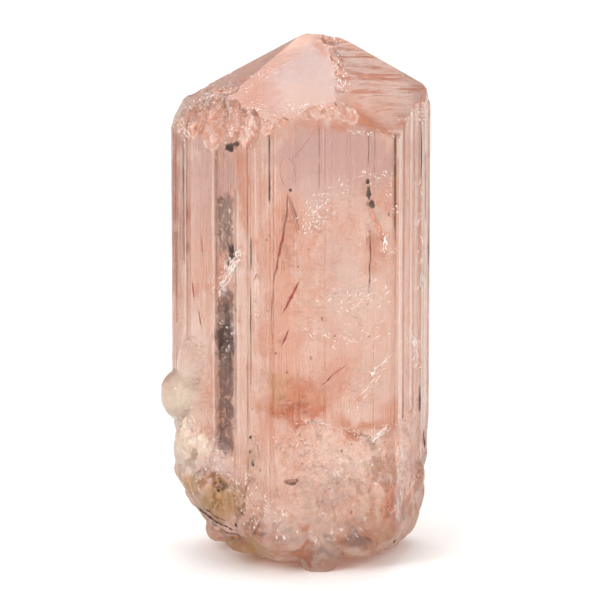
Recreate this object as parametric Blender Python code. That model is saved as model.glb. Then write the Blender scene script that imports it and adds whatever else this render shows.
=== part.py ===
"""A morganite (pink beryl) crystal, standing on its broken base.

The crystal is one solid. It is a six-sided prism, a little flattened from front to back, with growth
steps running up its sides. Six low faces close the top in a short ridge, and the shoulder between them
and the prism is chipped. The foot is a lumpy break that narrows to a small flat, on which it stands.

Lengths are in millimetres until a mesh is made. Directions are degrees round the upright axis, seen
from above: 0 faces +X (right), -90 faces -Y (the front) and 180 faces -X (left).
"""

import math
import random

import bmesh
import bpy
from mathutils import Matrix, Vector, noise

MM = 0.001

# The whole crystal
HEIGHT = 52.8
PRISM_TOP = HEIGHT + 1.5
# Where the prism's axis stands, measured from the middle of the finished crystal's box
AXIS_OFFSET = Vector((0.605, 0.033))

# Prism faces: the way each one faces, and how far it lies from the prism's axis
PRISM_FACES = {
    "left_edge": (-160, 12.23),
    "left": (-135, 10.7),
    "front": (-75, 10.4),
    "right": (-15, 11.3),
    "right_edge": (-12, 11.565),
    "back_right": (45, 12.7),
    "back": (105, 9.6),
    "back_left": (165, 12.56),
}
# Broad steps and grooves up a face: from where to where along it, and how deep at each side
GROOVES = {
    "left_edge": [(1.2, 1.9, 0.10, 0.22)],
    "left": [(0.5, 1.1, 0.18, 0.05), (4.7, 7.2, 0.50, 0.22), (9.1, 9.5, 0.20, 0.12)],
    "front": [(0.3, 0.7, 0.26, 0.20), (5.2, 5.9, 0.08, 0.12), (12.7, 13.1, 0.14, 0.24)],
    "right": [(1.6, 2.3, 0.10, 0.16), (5.6, 6.4, 0.14, 0.06), (8.7, 9.4, 0.12, 0.20)],
    "right_edge": [(1.5, 2.4, 0.10, 0.16)],
    "back_right": [(2.6, 3.8, 0.20, 0.10), (7.9, 8.5, 0.12, 0.22)],
    "back": [(3.5, 4.1, 0.12, 0.20), (8.4, 10.2, 0.34, 0.18), (13.2, 13.7, 0.1, 0.2)],
    "back_left": [(2.9, 3.7, 0.10, 0.26), (5.6, 6.0, 0.14, 0.10)],
}
# Finer growth steps between the grooves
STEP_PITCH = 2.0
STEP_DEPTH = 0.085
STEP_RISER = 0.06
STEP_SEED = 11
GROOVE_MARGIN = 0.3

# Faces that close the top: facing, dip from level, and a point that each passes through
RIGHT_TOP_FACE = (-27, 40.6, (3.15, -0.1, HEIGHT))
TOP_FACES = (
    RIGHT_TOP_FACE,
    (-105, 30.0, (1.35, 0.0, HEIGHT)),
    (50, 33.6, (3.2, 0.1, HEIGHT)),
    (75, 30.5, (1.35, 0.0, HEIGHT)),
    (135, 36.2, (-0.1, 0.0, 52.7)),
    (-165, 30.0, (-0.1, 0.0, 52.7)),
)
# Bevels broken off the shoulder, written in the same way
SHOULDER_BREAKS = (
    (-40, 46.0, (7.4, -5.3, 47.3)),
    (-172, 66.0, (-12.1, -0.5, 45.3)),
    (20, 62.0, (12.2, 4.6, 46.3)),
    (150, 58.0, (-9.8, 6.0, 44.4)),
)

# Growth ledges across the broad right top face: how far each starts down the slope from the peak
LEDGE_TURN = -13
LEDGE_STARTS = (3.1, 5.4, 7.6, 9.6)
LEDGE_DEPTH = 0.07
LEDGE_SLAB = (20, 40, 4)

# Scooped chips: a point on the edge, facing, climb, half sizes across, into and along, and depth
CHIPS = (
    ((1.6, -10.4, 47.0), -78, 12, (3.4, 3.0, 2.4), 0.60),
    ((4.6, -9.5, 46.9), -70, 8, (1.9, 2.4, 2.8), 0.60),
    ((7.4, -8.8, 45.8), -68, 12, (3.0, 3.5, 2.2), 0.40),
    ((-3.3, -11.5, 45.4), -105, 30, (1.9, 1.7, 1.7), 0.55),
    ((-5.3, -9.8, 45.0), -130, 15, (2.2, 2.6, 3.4), 1.00),
    ((-8.7, -6.4, 45.0), -135, 12, (2.1, 2.6, 4.8), 1.20),
    ((-7.0, -8.1, 45.2), -125, 15, (1.5, 1.6, 2.9), 0.85),
    ((-10.4, -4.7, 45.1), -145, 15, (1.8, 2.2, 3.3), 0.95),
    ((-11.9, -2.9, 44.6), -160, 20, (1.5, 1.8, 2.5), 0.60),
    ((-10.6, 0.3, 46.9), -165, 60, (1.5, 1.2, 1.3), 0.30),
    ((-9.6, -2.2, 47.4), -165, 60, (1.8, 1.3, 1.4), 0.28),
    ((-7.2, -5.2, 48.0), -140, 60, (2.0, 1.4, 1.4), 0.30),
    ((2.6, -0.6, 52.5), -60, 50, (1.5, 1.2, 1.4), 0.35),
    ((3.4, -3.4, 51.0), -70, 50, (0.9, 0.8, 1.1), 0.28),
    ((3.8, -5.7, 49.9), -70, 50, (1.0, 0.9, 1.0), 0.30),
    ((4.1, -7.8, 48.8), -70, 45, (1.5, 1.3, 1.5), 0.45),
    ((12.2, 1.5, 46.1), -5, 35, (1.6, 1.5, 1.2), 0.40),
    ((5.6, 11.2, 45.4), 75, 30, (2.9, 2.6, 2.1), 0.90),
    ((-3.2, 8.9, 46.6), 110, 35, (3.0, 2.4, 2.2), 0.70),
    ((-10.8, 6.8, 44.0), 150, 30, (2.2, 2.2, 2.4), 0.90),
)
CHIP_BUMP = 0.13
CHIP_RIPPLE = 2.3

# The break, by direction: its top, how far it draws in above the curve, the curve's top and
# roundness, and the reach of the flat foot
BREAK = (
    (-180, 22.0, 0.1, 8.7, 1.42, 4.5),
    (-155, 19.0, 0.1, 7.8, 1.45, 3.5),
    (-135, 12.0, 0.1, 5.2, 1.60, 3.4),
    (-105, 10.0, 0.1, 4.0, 1.50, 3.9),
    (-75, 9.0, 0.1, 3.5, 1.60, 5.4),
    (-48, 8.0, 0.2, 4.0, 1.45, 4.8),
    (-15, 9.0, 0.3, 4.4, 2.10, 6.0),
    (12, 14.0, 0.7, 4.6, 2.40, 7.6),
    (50, 11.0, 0.4, 5.0, 1.80, 8.4),
    (100, 11.0, 0.2, 6.0, 1.60, 7.0),
    (140, 15.0, 0.2, 7.5, 1.50, 6.6),
)
# Rounded lumps grown on the break: direction, height, reach, half width, half height, half depth
LUMPS = (
    (-172, 16.6, 14.25, 3.0, 2.6, 1.9),
    (-163, 20.2, 12.9, 2.4, 2.6, 1.3),
    (-167, 11.8, 13.1, 2.8, 2.5, 1.5),
    (-152, 7.8, 12.2, 2.4, 2.2, 1.5),
    (-140, 11.0, 11.2, 2.0, 2.4, 1.1),
    (-144, 5.5, 10.9, 3.2, 2.5, 1.8),
    (-138, 2.6, 9.4, 3.4, 1.4, 1.6),
    (-112, 8.2, 12.0, 1.8, 2.2, 1.0),
    (-102, 2.6, 9.2, 2.4, 1.5, 1.4),
    (-76, 1.3, 8.3, 2.7, 2.2, 2.2),
    (-52, 2.9, 11.0, 2.8, 1.4, 1.4),
    (8, 7.6, 12.5, 2.2, 1.9, 1.2),
    (12, 3.5, 12.1, 2.2, 1.3, 1.2),
    (52, 2.9, 12.0, 3.0, 2.0, 1.6),
    (84, 4.6, 10.6, 2.8, 2.4, 1.4),
    (112, 8.1, 10.2, 3.2, 2.8, 1.6),
    (128, 3.1, 10.2, 2.8, 2.2, 1.6),
    (152, 12.9, 13.3, 2.6, 2.6, 1.3),
    (163, 6.1, 12.3, 2.6, 2.4, 1.5),
    (176, 2.4, 9.8, 2.2, 1.5, 1.3),
)
# Width and height of the bumps over the break, and how much of them a lump keeps
ROUGH_BUMPS = ((4.2, 0.50), (2.1, 0.26))
LUMP_BUMPS = 0.3
# Where the roughness starts to fade, as a share of the break's height
FADE_START = 0.55
# The widest gap left between neighbouring columns of points
WIDEST_GAP = 1.15

# Edges bent more than this stay crisp, and the rounded lumps between them are shaded smooth
SHARP_ANGLE = 28

# Rings of points up the crystal: close together over the break, far apart above it
RING_STEPS = ((0.0, 0.4), (1.6, 0.7), (5.1, 1.0), (13.1, 1.5), (22.0, 10.8))


def facing(degrees):
    """The level direction at this many degrees round the axis."""
    return Vector((math.cos(math.radians(degrees)), math.sin(math.radians(degrees))))


def smooth_step(low, high, value):
    """0 below low, 1 above high, and a smooth rise between them."""
    share = min(1.0, max(0.0, (value - low) / (high - low)))
    return share * share * (3 - 2 * share)


def around(table, degrees):
    """The values at a direction, eased between the directions that the table gives."""
    closed = [*table, (table[0][0] + 360, *table[0][1:])]
    degrees = (degrees - closed[0][0]) % 360 + closed[0][0]
    for (start, *first), (end, *second) in zip(closed, closed[1:]):
        if degrees <= end:
            share = smooth_step(start, end, degrees)
            return [a + (b - a) * share for a, b in zip(first, second)]
    return closed[-1][1:]


def corner_between(first, second):
    """The point where two prism faces meet, seen from above."""
    (a, b), (c, d) = facing(first[0]), facing(second[0])
    scale = a * d - b * c
    return Vector(((first[1] * d - b * second[1]) / scale, (a * second[1] - first[1] * c) / scale))


def growth_steps(name, length, rng):
    """Pairs of distance along a face and depth below it, stepping from one level to the next."""
    grooves = GROOVES.get(name, ())
    steps = []
    for start, end, first_depth, last_depth in grooves:
        steps += [(start - STEP_RISER, 0.0), (start, first_depth)]
        steps += [(end, last_depth), (end + STEP_RISER, 0.0)]
    level = 0.0
    along = STEP_PITCH * rng.uniform(0.4, 0.9)
    while along < length - STEP_PITCH * 0.3:
        new_level = rng.uniform(0.0, STEP_DEPTH)
        if all(not start - GROOVE_MARGIN < along < end + GROOVE_MARGIN for start, end, _, _ in grooves):
            steps += [(along, level), (along + STEP_RISER, new_level)]
            level = new_level
        along += STEP_PITCH * rng.uniform(0.5, 1.5)
    return sorted([(0.0, 0.0), *steps])


def filled_in(steps, length):
    """The same steps, with more points wherever two lie far apart."""
    filled = []
    for (along, depth), (next_along, next_depth) in zip(steps, [*steps[1:], (length, 0.0)]):
        count = math.ceil((next_along - along) / WIDEST_GAP)
        for i in range(count):
            share = i / count
            filled.append((along + (next_along - along) * share, depth + (next_depth - depth) * share))
    return filled


def outline_columns():
    """The prism's outline seen from above: for each point, its place on the flat face, the way that
    face looks, and how far the growth steps sink the point below it."""
    rng = random.Random(STEP_SEED)
    faces = list(PRISM_FACES.items())
    corners = [corner_between(faces[i - 1][1], faces[i][1]) for i in range(len(faces))]
    columns = []
    for i, (name, (degrees, _)) in enumerate(faces):
        start, end = corners[i], corners[(i + 1) % len(corners)]
        length = (end - start).length
        for along, depth in filled_in(growth_steps(name, length, rng), length):
            columns.append((start.lerp(end, along / length), facing(degrees), depth))
    return columns


def bumps(point, scale_and_height, seed):
    """Lumpy relief at a point in space, one noise for each scale."""
    shift = Vector((seed * 17.3, seed * 5.1, seed * 9.7))
    return sum(height * noise.noise(point / scale + shift) for scale, height in scale_and_height)


def surface_point(column, height):
    """A point of the crystal's side: the stepped prism above, and the curved, lumpy break below."""
    place, outward, depth = column
    degrees = math.degrees(math.atan2(place.y, place.x))
    top, draw_in, curve_top, roundness, foot = around(BREAK, degrees)
    rough = 1 - smooth_step(FADE_START, 1.0, height / top)
    reach = (place - outward * depth * (1 - rough)).length
    reach -= draw_in * (1 - smooth_step(curve_top, top, height))
    if height < curve_top:
        share = (1 - (1 - height / curve_top) ** roundness) ** (1 / roundness)
        reach = foot + (reach - foot) * share

    direction = place.normalized()
    at = Vector((direction.x * reach, direction.y * reach, height))
    reach += rough * bumps(at, ROUGH_BUMPS, 1)
    for lump_degrees, lump_height, lump_reach, half_width, half_height, half_depth in LUMPS:
        turn = (degrees - lump_degrees + 180) % 360 - 180
        across = math.radians(turn) * lump_reach / half_width
        inside = 1 - across**2 - ((height - lump_height) / half_height) ** 2
        if inside > 0:
            bulge = lump_reach + half_depth * (math.sqrt(inside) - 1)
            reach = max(reach, bulge + LUMP_BUMPS * bumps(at, ROUGH_BUMPS, 2))
    return Vector((direction.x * reach, direction.y * reach, height))


def ring_heights():
    heights = []
    for (start, step), (end, _) in zip(RING_STEPS, [*RING_STEPS[1:], (PRISM_TOP, 0.0)]):
        count = max(1, round((end - start) / step))
        heights += [start + (end - start) * i / count for i in range(count)]
    return [*heights, PRISM_TOP]


def prism_mesh():
    """The stepped prism with its broken foot, closed by a flat face at each end."""
    bm = bmesh.new()
    columns = outline_columns()
    rings = []
    for height in ring_heights():
        rings.append([bm.verts.new(surface_point(column, height)) for column in columns])
    for lower, upper in zip(rings, rings[1:]):
        for i in range(len(columns)):
            j = (i + 1) % len(columns)
            bm.faces.new((lower[i], lower[j], upper[j], upper[i]))
    bm.faces.new(rings[0][::-1])
    bm.faces.new(rings[-1])
    return bm


def cut_off(bm, point, outward):
    """Cuts away what lies beyond a plane, and closes the cut with one flat face."""
    geometry = [*bm.verts, *bm.edges, *bm.faces]
    bmesh.ops.bisect_plane(
        bm, geom=geometry, dist=1e-5, plane_co=point, plane_no=outward, clear_outer=True
    )
    open_edges = [edge for edge in bm.edges if edge.is_boundary]
    bmesh.ops.contextual_create(bm, geom=open_edges)


def slope(degrees, dip):
    """The outward direction of a face that leans back by its dip."""
    level = facing(degrees)
    lean = math.radians(dip)
    return Vector((level.x * math.sin(lean), level.y * math.sin(lean), math.cos(lean)))


def cut_termination(bm):
    for degrees, dip, point in [*TOP_FACES, *SHOULDER_BREAKS]:
        cut_off(bm, Vector(point), slope(degrees, dip))


def link_object(name, bm, material=None):
    """A named object from a mesh in millimetres about the prism's axis."""
    bmesh.ops.transform(
        bm, matrix=Matrix.Scale(MM, 4) @ Matrix.Translation((*AXIS_OFFSET, 0.0)), verts=bm.verts
    )
    mesh = bpy.data.meshes.new(name)
    bm.to_mesh(mesh)
    bm.free()
    if material:
        mesh.materials.append(material)
    obj = bpy.data.objects.new(name, mesh)
    bpy.context.scene.collection.objects.link(obj)
    return obj


def chip_cutter(number, place, degrees, climb, half_sizes, depth):
    """A rippled ellipsoid that dips into an edge, and so leaves a shell-like scoop."""
    outward = slope(degrees, 90 - climb)
    across = Vector((-facing(degrees).y, facing(degrees).x, 0.0))
    along = across.cross(outward)
    centre = Vector(place) + outward * (half_sizes[1] - depth)
    bm = bmesh.new()
    bmesh.ops.create_icosphere(bm, subdivisions=3, radius=1.0)
    for vert in bm.verts:
        ripple = noise.noise(vert.co * CHIP_RIPPLE + Vector((number * 3.7, 0.0, 0.0)))
        swell = 1 + CHIP_BUMP * ripple
        local = Vector(a * b for a, b in zip(vert.co * swell, half_sizes))
        vert.co = centre + across * local.x + outward * local.y + along * local.z
    return hide_cutter(link_object(f"chip_cutter_{number:02d}", bm))


def hide_cutter(cutter):
    cutter.hide_render = True
    cutter.display_type = "WIRE"
    return cutter


def ledge_cutter(number, start):
    """A slab over the lower part of the right top face, each one dipping deeper than the last."""
    degrees, dip, peak = RIGHT_TOP_FACE
    outward = slope(degrees, dip)
    down = Matrix.Rotation(math.radians(LEDGE_TURN), 3, outward) @ slope(degrees, dip + 90)
    across = outward.cross(down)
    corner = Vector(peak) - outward * LEDGE_DEPTH * (number + 1) + down * start
    bm = bmesh.new()
    bmesh.ops.create_cube(bm, size=1.0)
    for vert in bm.verts:
        x, y, z = (a * b for a, b in zip(vert.co + Vector((0.5, 0.0, 0.5)), LEDGE_SLAB))
        vert.co = corner + down * x + across * y + outward * z
    return hide_cutter(link_object(f"ledge_cutter_{number}", bm))


def morganite_material():
    material = bpy.data.materials.new("morganite")
    material.use_nodes = True
    shader = material.node_tree.nodes["Principled BSDF"]
    shader.inputs["Base Color"].default_value = (0.78, 0.47, 0.38, 1.0)
    shader.inputs["Roughness"].default_value = 0.12
    shader.inputs["Metallic"].default_value = 0.0
    shader.inputs["IOR"].default_value = 1.58
    shader.inputs["Transmission Weight"].default_value = 0.6
    return material


def morganite_crystal():
    bm = prism_mesh()
    cut_termination(bm)
    bmesh.ops.triangulate(bm, faces=bm.faces)
    crystal = link_object("morganite_crystal", bm, morganite_material())
    crystal.data.shade_smooth()
    crystal.data.set_sharp_from_angle(angle=math.radians(SHARP_ANGLE))
    cutters = [ledge_cutter(number, start) for number, start in enumerate(LEDGE_STARTS)]
    cutters += [chip_cutter(number, *chip) for number, chip in enumerate(CHIPS)]
    for cutter in cutters:
        cut = crystal.modifiers.new(cutter.name, "BOOLEAN")
        cut.operation = "DIFFERENCE"
        cut.object = cutter
    return crystal


def main():
    for obj in list(bpy.data.objects):
        bpy.data.objects.remove(obj)
    morganite_crystal()


main()
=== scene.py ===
"""The look of the morganite crystal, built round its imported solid.

The crystal is drawn again in more detail than the solid: finer growth lines, more chips and a rougher
foot. Inside it lie the needles, dark flecks, veils and stains that show through its faces.

Lengths are in millimetres about the prism's axis until a mesh is made. Directions are degrees round
that axis, seen from above: 0 faces +X (right) and -90 faces -Y (the front).
"""

import math
import random

import bmesh
import bpy
import numpy as np
from mathutils import Matrix, Vector, noise


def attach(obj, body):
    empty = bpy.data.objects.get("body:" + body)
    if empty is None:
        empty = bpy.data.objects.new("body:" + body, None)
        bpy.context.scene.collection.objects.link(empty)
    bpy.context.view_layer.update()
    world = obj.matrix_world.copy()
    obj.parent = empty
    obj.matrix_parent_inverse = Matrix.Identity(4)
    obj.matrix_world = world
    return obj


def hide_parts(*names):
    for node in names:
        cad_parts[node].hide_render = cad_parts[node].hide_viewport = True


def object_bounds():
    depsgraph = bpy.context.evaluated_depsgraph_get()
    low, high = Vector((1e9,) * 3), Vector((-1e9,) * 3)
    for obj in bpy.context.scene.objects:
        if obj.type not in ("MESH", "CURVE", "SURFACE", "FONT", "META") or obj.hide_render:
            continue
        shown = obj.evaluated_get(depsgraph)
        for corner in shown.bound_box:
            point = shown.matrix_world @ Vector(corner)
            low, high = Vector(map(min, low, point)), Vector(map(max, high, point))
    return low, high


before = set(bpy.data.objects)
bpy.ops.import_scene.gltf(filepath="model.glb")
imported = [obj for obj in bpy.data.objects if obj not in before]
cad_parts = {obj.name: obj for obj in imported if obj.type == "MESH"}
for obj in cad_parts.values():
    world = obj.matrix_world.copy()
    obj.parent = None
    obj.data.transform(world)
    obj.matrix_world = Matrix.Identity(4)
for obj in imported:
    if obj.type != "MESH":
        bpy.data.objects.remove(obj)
CAD_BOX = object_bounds()

MM = 0.001
HEIGHT = 52.8
PRISM_TOP = HEIGHT + 1.5
AXIS_OFFSET = Vector((0.605, 0.033, 0.0))
IOR = 1.58
TRANSMISSION = 0.80
ABSORPTION = (0.90, 0.60, 0.46)
DENSITY = 18.0

# The camera looks along +Y, this many degrees down
CAMERA_TILT = 12.0
TILT = math.radians(CAMERA_TILT)
SIGHT = Vector((0.0, math.cos(TILT), -math.sin(TILT)))
SIGHT_START = 60.0
CAMERA_DISTANCE = 0.5
SENSOR_WIDTH = 36.0
VIEW_WIDTH = 0.060
# The middle of the view, from the axis and the foot
VIEW_ACROSS = -0.2
VIEW_UP = 25.34

# Prism faces: the way each one faces, and how far it lies from the axis
PRISM_FACES = {
    "left_edge": (-160, 12.23),
    "left": (-135, 10.7),
    "front": (-75, 10.4),
    "right": (-15, 11.3),
    "right_edge": (-12, 11.565),
    "back_right": (45, 12.7),
    "back": (105, 9.6),
    "back_left": (165, 12.56),
}
FRONT_FACES = ("left_edge", "left", "front", "right", "right_edge")
# Where each front face but the last ends, across the front view
FACE_ENDS = (("left_edge", -11.8), ("left", -3.48), ("front", 9.52), ("right", 12.3))
# Broad steps and grooves up a face: from where to where along it, and how deep at each side
GROOVES = {
    "left_edge": [(1.2, 1.9, 0.10, 0.22)],
    "left": [(0.5, 1.1, 0.18, 0.05), (4.7, 7.2, 0.50, 0.22), (9.1, 9.5, 0.20, 0.12)],
    "front": [(0.3, 0.7, 0.26, 0.20), (5.2, 5.9, 0.08, 0.12), (12.7, 13.1, 0.14, 0.24)],
    "right": [(1.6, 2.3, 0.10, 0.16), (5.6, 6.4, 0.14, 0.06), (8.7, 9.4, 0.12, 0.20)],
    "right_edge": [(1.5, 2.4, 0.10, 0.16)],
    "back_right": [(2.6, 3.8, 0.20, 0.10), (7.9, 8.5, 0.12, 0.22)],
    "back": [(3.5, 4.1, 0.12, 0.20), (8.4, 10.2, 0.34, 0.18), (13.2, 13.7, 0.1, 0.2)],
    "back_left": [(2.9, 3.7, 0.10, 0.26), (5.6, 6.0, 0.14, 0.10)],
}
STEP_PITCH = 0.62
STEP_DEPTH = 0.065
STEP_RISER = 0.035
STEP_SEED = 5
GROOVE_MARGIN = 0.12
DEEPEST_GROOVE = 0.7
WIDEST_GAP = 0.34
LEAST_GAP = 0.01

# Faces that close the top, and bevels: facing, dip from level, and a point that each passes through
RIGHT_TOP_FACE = (-27, 40.6, (3.15, -0.1, HEIGHT))
TOP_FACES = (
    RIGHT_TOP_FACE,
    (-105, 30.0, (1.35, 0.0, HEIGHT)),
    (50, 33.6, (3.2, 0.1, HEIGHT)),
    (75, 30.5, (1.35, 0.0, HEIGHT)),
    (135, 36.2, (-0.1, 0.0, 52.7)),
    (-165, 30.0, (-0.1, 0.0, 52.7)),
)
TOP_NAMES = ("top_right", "top_front", "top_back_right", "top_back", "top_back_left", "top_left")
SHOULDER_BREAKS = (
    (-40, 46.0, (7.4, -5.3, 47.3)),
    (-172, 66.0, (-12.1, -0.5, 45.3)),
    (20, 62.0, (12.2, 4.6, 46.3)),
    (150, 58.0, (-9.8, 6.0, 44.4)),
)
# Growth ledges across the right top face
LEDGE_TURN = -13
LEDGE_STARTS = (2.2, 3.1, 4.3, 5.4, 6.1, 7.6, 8.3, 9.6, 10.6)
LEDGE_DEPTH = 0.032
LEDGE_SLAB = (20, 40, 4)

# Scooped chips: a point on the edge, facing, climb, half sizes across, into and along, and depth
CHIPS = (
    ((1.6, -10.4, 47.0), -78, 12, (3.4, 3.0, 2.4), 0.6),
    ((4.6, -9.5, 46.9), -70, 8, (1.9, 2.4, 2.8), 0.6),
    ((7.4, -8.8, 45.8), -68, 12, (3.0, 3.5, 2.2), 0.4),
    ((-3.3, -11.5, 45.4), -105, 30, (1.9, 1.7, 1.7), 0.55),
    ((-5.3, -9.8, 45.0), -130, 15, (2.2, 2.6, 3.4), 1.0),
    ((-8.7, -6.4, 45.0), -135, 12, (2.1, 2.6, 4.8), 1.2),
    ((-7.0, -8.1, 45.2), -125, 15, (1.5, 1.6, 2.9), 0.85),
    ((-10.4, -4.7, 45.1), -145, 15, (1.8, 2.2, 3.3), 0.95),
    ((-11.9, -2.9, 44.6), -160, 20, (1.5, 1.8, 2.5), 0.6),
    ((-10.6, 0.3, 46.9), -165, 60, (1.5, 1.2, 1.3), 0.3),
    ((-9.6, -2.2, 47.4), -165, 60, (1.8, 1.3, 1.4), 0.28),
    ((-7.2, -5.2, 48.0), -140, 60, (2.0, 1.4, 1.4), 0.3),
    ((2.6, -0.6, 52.5), -60, 50, (1.5, 1.2, 1.4), 0.35),
    ((3.4, -3.4, 51.0), -70, 50, (0.9, 0.8, 1.1), 0.28),
    ((3.8, -5.7, 49.9), -70, 50, (1.0, 0.9, 1.0), 0.3),
    ((4.1, -7.8, 48.8), -70, 45, (1.5, 1.3, 1.5), 0.45),
    ((12.2, 1.5, 46.1), -5, 35, (1.6, 1.5, 1.2), 0.4), ((5.6, 11.2, 45.4), 75, 30, (2.9, 2.6, 2.1), 0.9),
    ((-3.2, 8.9, 46.6), 110, 35, (3.0, 2.4, 2.2), 0.7),
    ((-10.8, 6.8, 44.0), 150, 30, (2.2, 2.2, 2.4), 0.9),
)
CHIP_BUMP = 0.10
CHIP_RIPPLE = 2.3
# Small chips round the shoulder, on the crumbled left top face, and down the right ridge: how many,
# and the smallest and largest size
SHOULDER_NICKS = (40, 0.35, 1.0)
CRUMBLED_NICKS = (18, 0.3, 0.8)
RIDGE_NICKS = (14, 0.35, 0.75)
# Seen from above, the crumbled part's range in X and in Y, and the ridge's start and run
CRUMBLED_PART = ((-12.0, -5.5), (-6.0, 1.0))
RIDGE = ((2.9, -0.4), (1.5, -9.0))
NICK_SEED = 23
NICK_JAG = 0.42
NICK_RIPPLE = 1.9
# The broken lower part of the front steps back under this line: place across and height
FRONT_LEDGE = (
    (-3.4, 13.0), (-0.4, 15.6), (1.2, 15.9), (2.9, 15.0), (4.2, 14.9), (5.3, 14.3),
    (6.6, 14.2), (7.2, 13.4), (8.4, 14.8), (9.4, 15.0), (10.4, 15.4), (11.4, 15.1),
)
FRONT_LEDGE_DEPTH = 0.32
FRONT_LEDGE_WANDER = 0.25
# Over what it fades: in height, from its left end, and towards the right edge
FRONT_LEDGE_FADES = ((-0.22, 0.05), (0.0, 1.6), (0.3, 3.6))
LEDGE_CRUST = 0.7

# The break, by direction: its top, how far it draws in above the curve, the curve's top and
# roundness, and the reach of the flat foot
BREAK = (
    (-180, 22.0, 0.1, 8.7, 1.42, 4.5),
    (-155, 19.0, 0.1, 7.8, 1.45, 3.5),
    (-135, 12.0, 0.1, 5.2, 1.6, 3.4),
    (-105, 10.0, 0.1, 4.0, 1.5, 3.9),
    (-75, 9.0, 0.1, 3.5, 1.6, 5.4),
    (-48, 8.0, 0.2, 4.0, 1.45, 4.8),
    (-15, 9.0, 0.3, 4.4, 2.1, 6.0),
    (12, 14.0, 0.7, 4.6, 2.4, 7.6),
    (50, 11.0, 0.4, 5.0, 1.8, 8.4),
    (100, 11.0, 0.2, 6.0, 1.6, 7.0),
    (140, 15.0, 0.2, 7.5, 1.5, 6.6),
)
# Rounded lumps grown on the break: direction, height, reach, half width, half height, half depth
LUMPS = (
    (-172, 16.6, 14.25, 3.0, 2.6, 1.9), (-163, 20.2, 12.9, 2.4, 2.6, 1.3),
    (-167, 11.8, 13.1, 2.8, 2.5, 1.5), (-152, 7.8, 12.2, 2.4, 2.2, 1.5),
    (-140, 11.0, 11.2, 2.0, 2.4, 1.1), (-144, 5.5, 10.9, 3.2, 2.5, 1.8), (-138, 2.6, 9.4, 3.4, 1.4, 1.6),
    (-112, 8.2, 12.0, 1.8, 2.2, 1.0), (-102, 2.6, 9.2, 2.4, 1.5, 1.4), (-76, 3.0, 9.6, 3.5, 3.6, 2.4),
    (-52, 2.9, 11.0, 2.8, 1.4, 1.4), (8, 7.6, 12.5, 2.2, 1.9, 1.2), (12, 3.5, 12.1, 2.2, 1.3, 1.2),
    (52, 2.9, 12.0, 3.0, 2.0, 1.6), (84, 4.6, 10.6, 2.8, 2.4, 1.4), (112, 8.1, 10.2, 3.2, 2.8, 1.6),
    (128, 3.1, 10.2, 2.8, 2.2, 1.6), (152, 12.9, 13.3, 2.6, 2.6, 1.3), (163, 6.1, 12.3, 2.6, 2.4, 1.5),
    (176, 2.4, 9.8, 2.2, 1.5, 1.3),
)
ROUGH_BUMPS = ((4.2, 0.50), (2.1, 0.26))
LUMP_BUMPS = 0.3
GRAIN_CELL = 1.8
GRAIN_HEIGHT = 0.26
GRAIN_BUMPS = ((0.95, 0.07),)
FADE_START = 0.55
RING_STEPS = ((0.0, 0.24), (16.4, 0.55))
ROUGH_TOP = 23.0
SHARP_ANGLE = 24

SALMON = (0.75, 0.42, 0.31)
PEACH = (0.74, 0.36, 0.24)
PALE_PINK = (0.88, 0.67, 0.57)
GREY_PINK = (0.63, 0.43, 0.40)
MAUVE = (0.40, 0.24, 0.23)
RUSSET = (0.48, 0.22, 0.15)
ORANGE = (0.66, 0.21, 0.10)
DEEP_ORANGE = (0.55, 0.17, 0.06)
RED_ORANGE = (0.48, 0.08, 0.02)
CREAM = (0.97, 0.91, 0.74)
OCHRE = (0.46, 0.25, 0.05)
RUST = (0.36, 0.05, 0.03)
WHITE = (0.98, 0.93, 0.89)
UMBER = (0.36, 0.15, 0.06)
MILKY = (0.95, 0.82, 0.75)
BROWN = (0.13, 0.07, 0.05)
SOOT = (0.02, 0.014, 0.012)
FRACTURE = (0.82, 0.36, 0.23)
# Painted shade, laid into the hollows of chips and the break
PAINTED_HOLLOW_SHADE = (0.62, 0.26, 0.14)
DARK_RUST = (0.22, 0.04, 0.03)
PURE_WHITE = (1.0, 0.97, 0.95)
SMOKE = (0.16, 0.06, 0.04)
PALE_SMOKE = (0.34, 0.18, 0.14)

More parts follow.
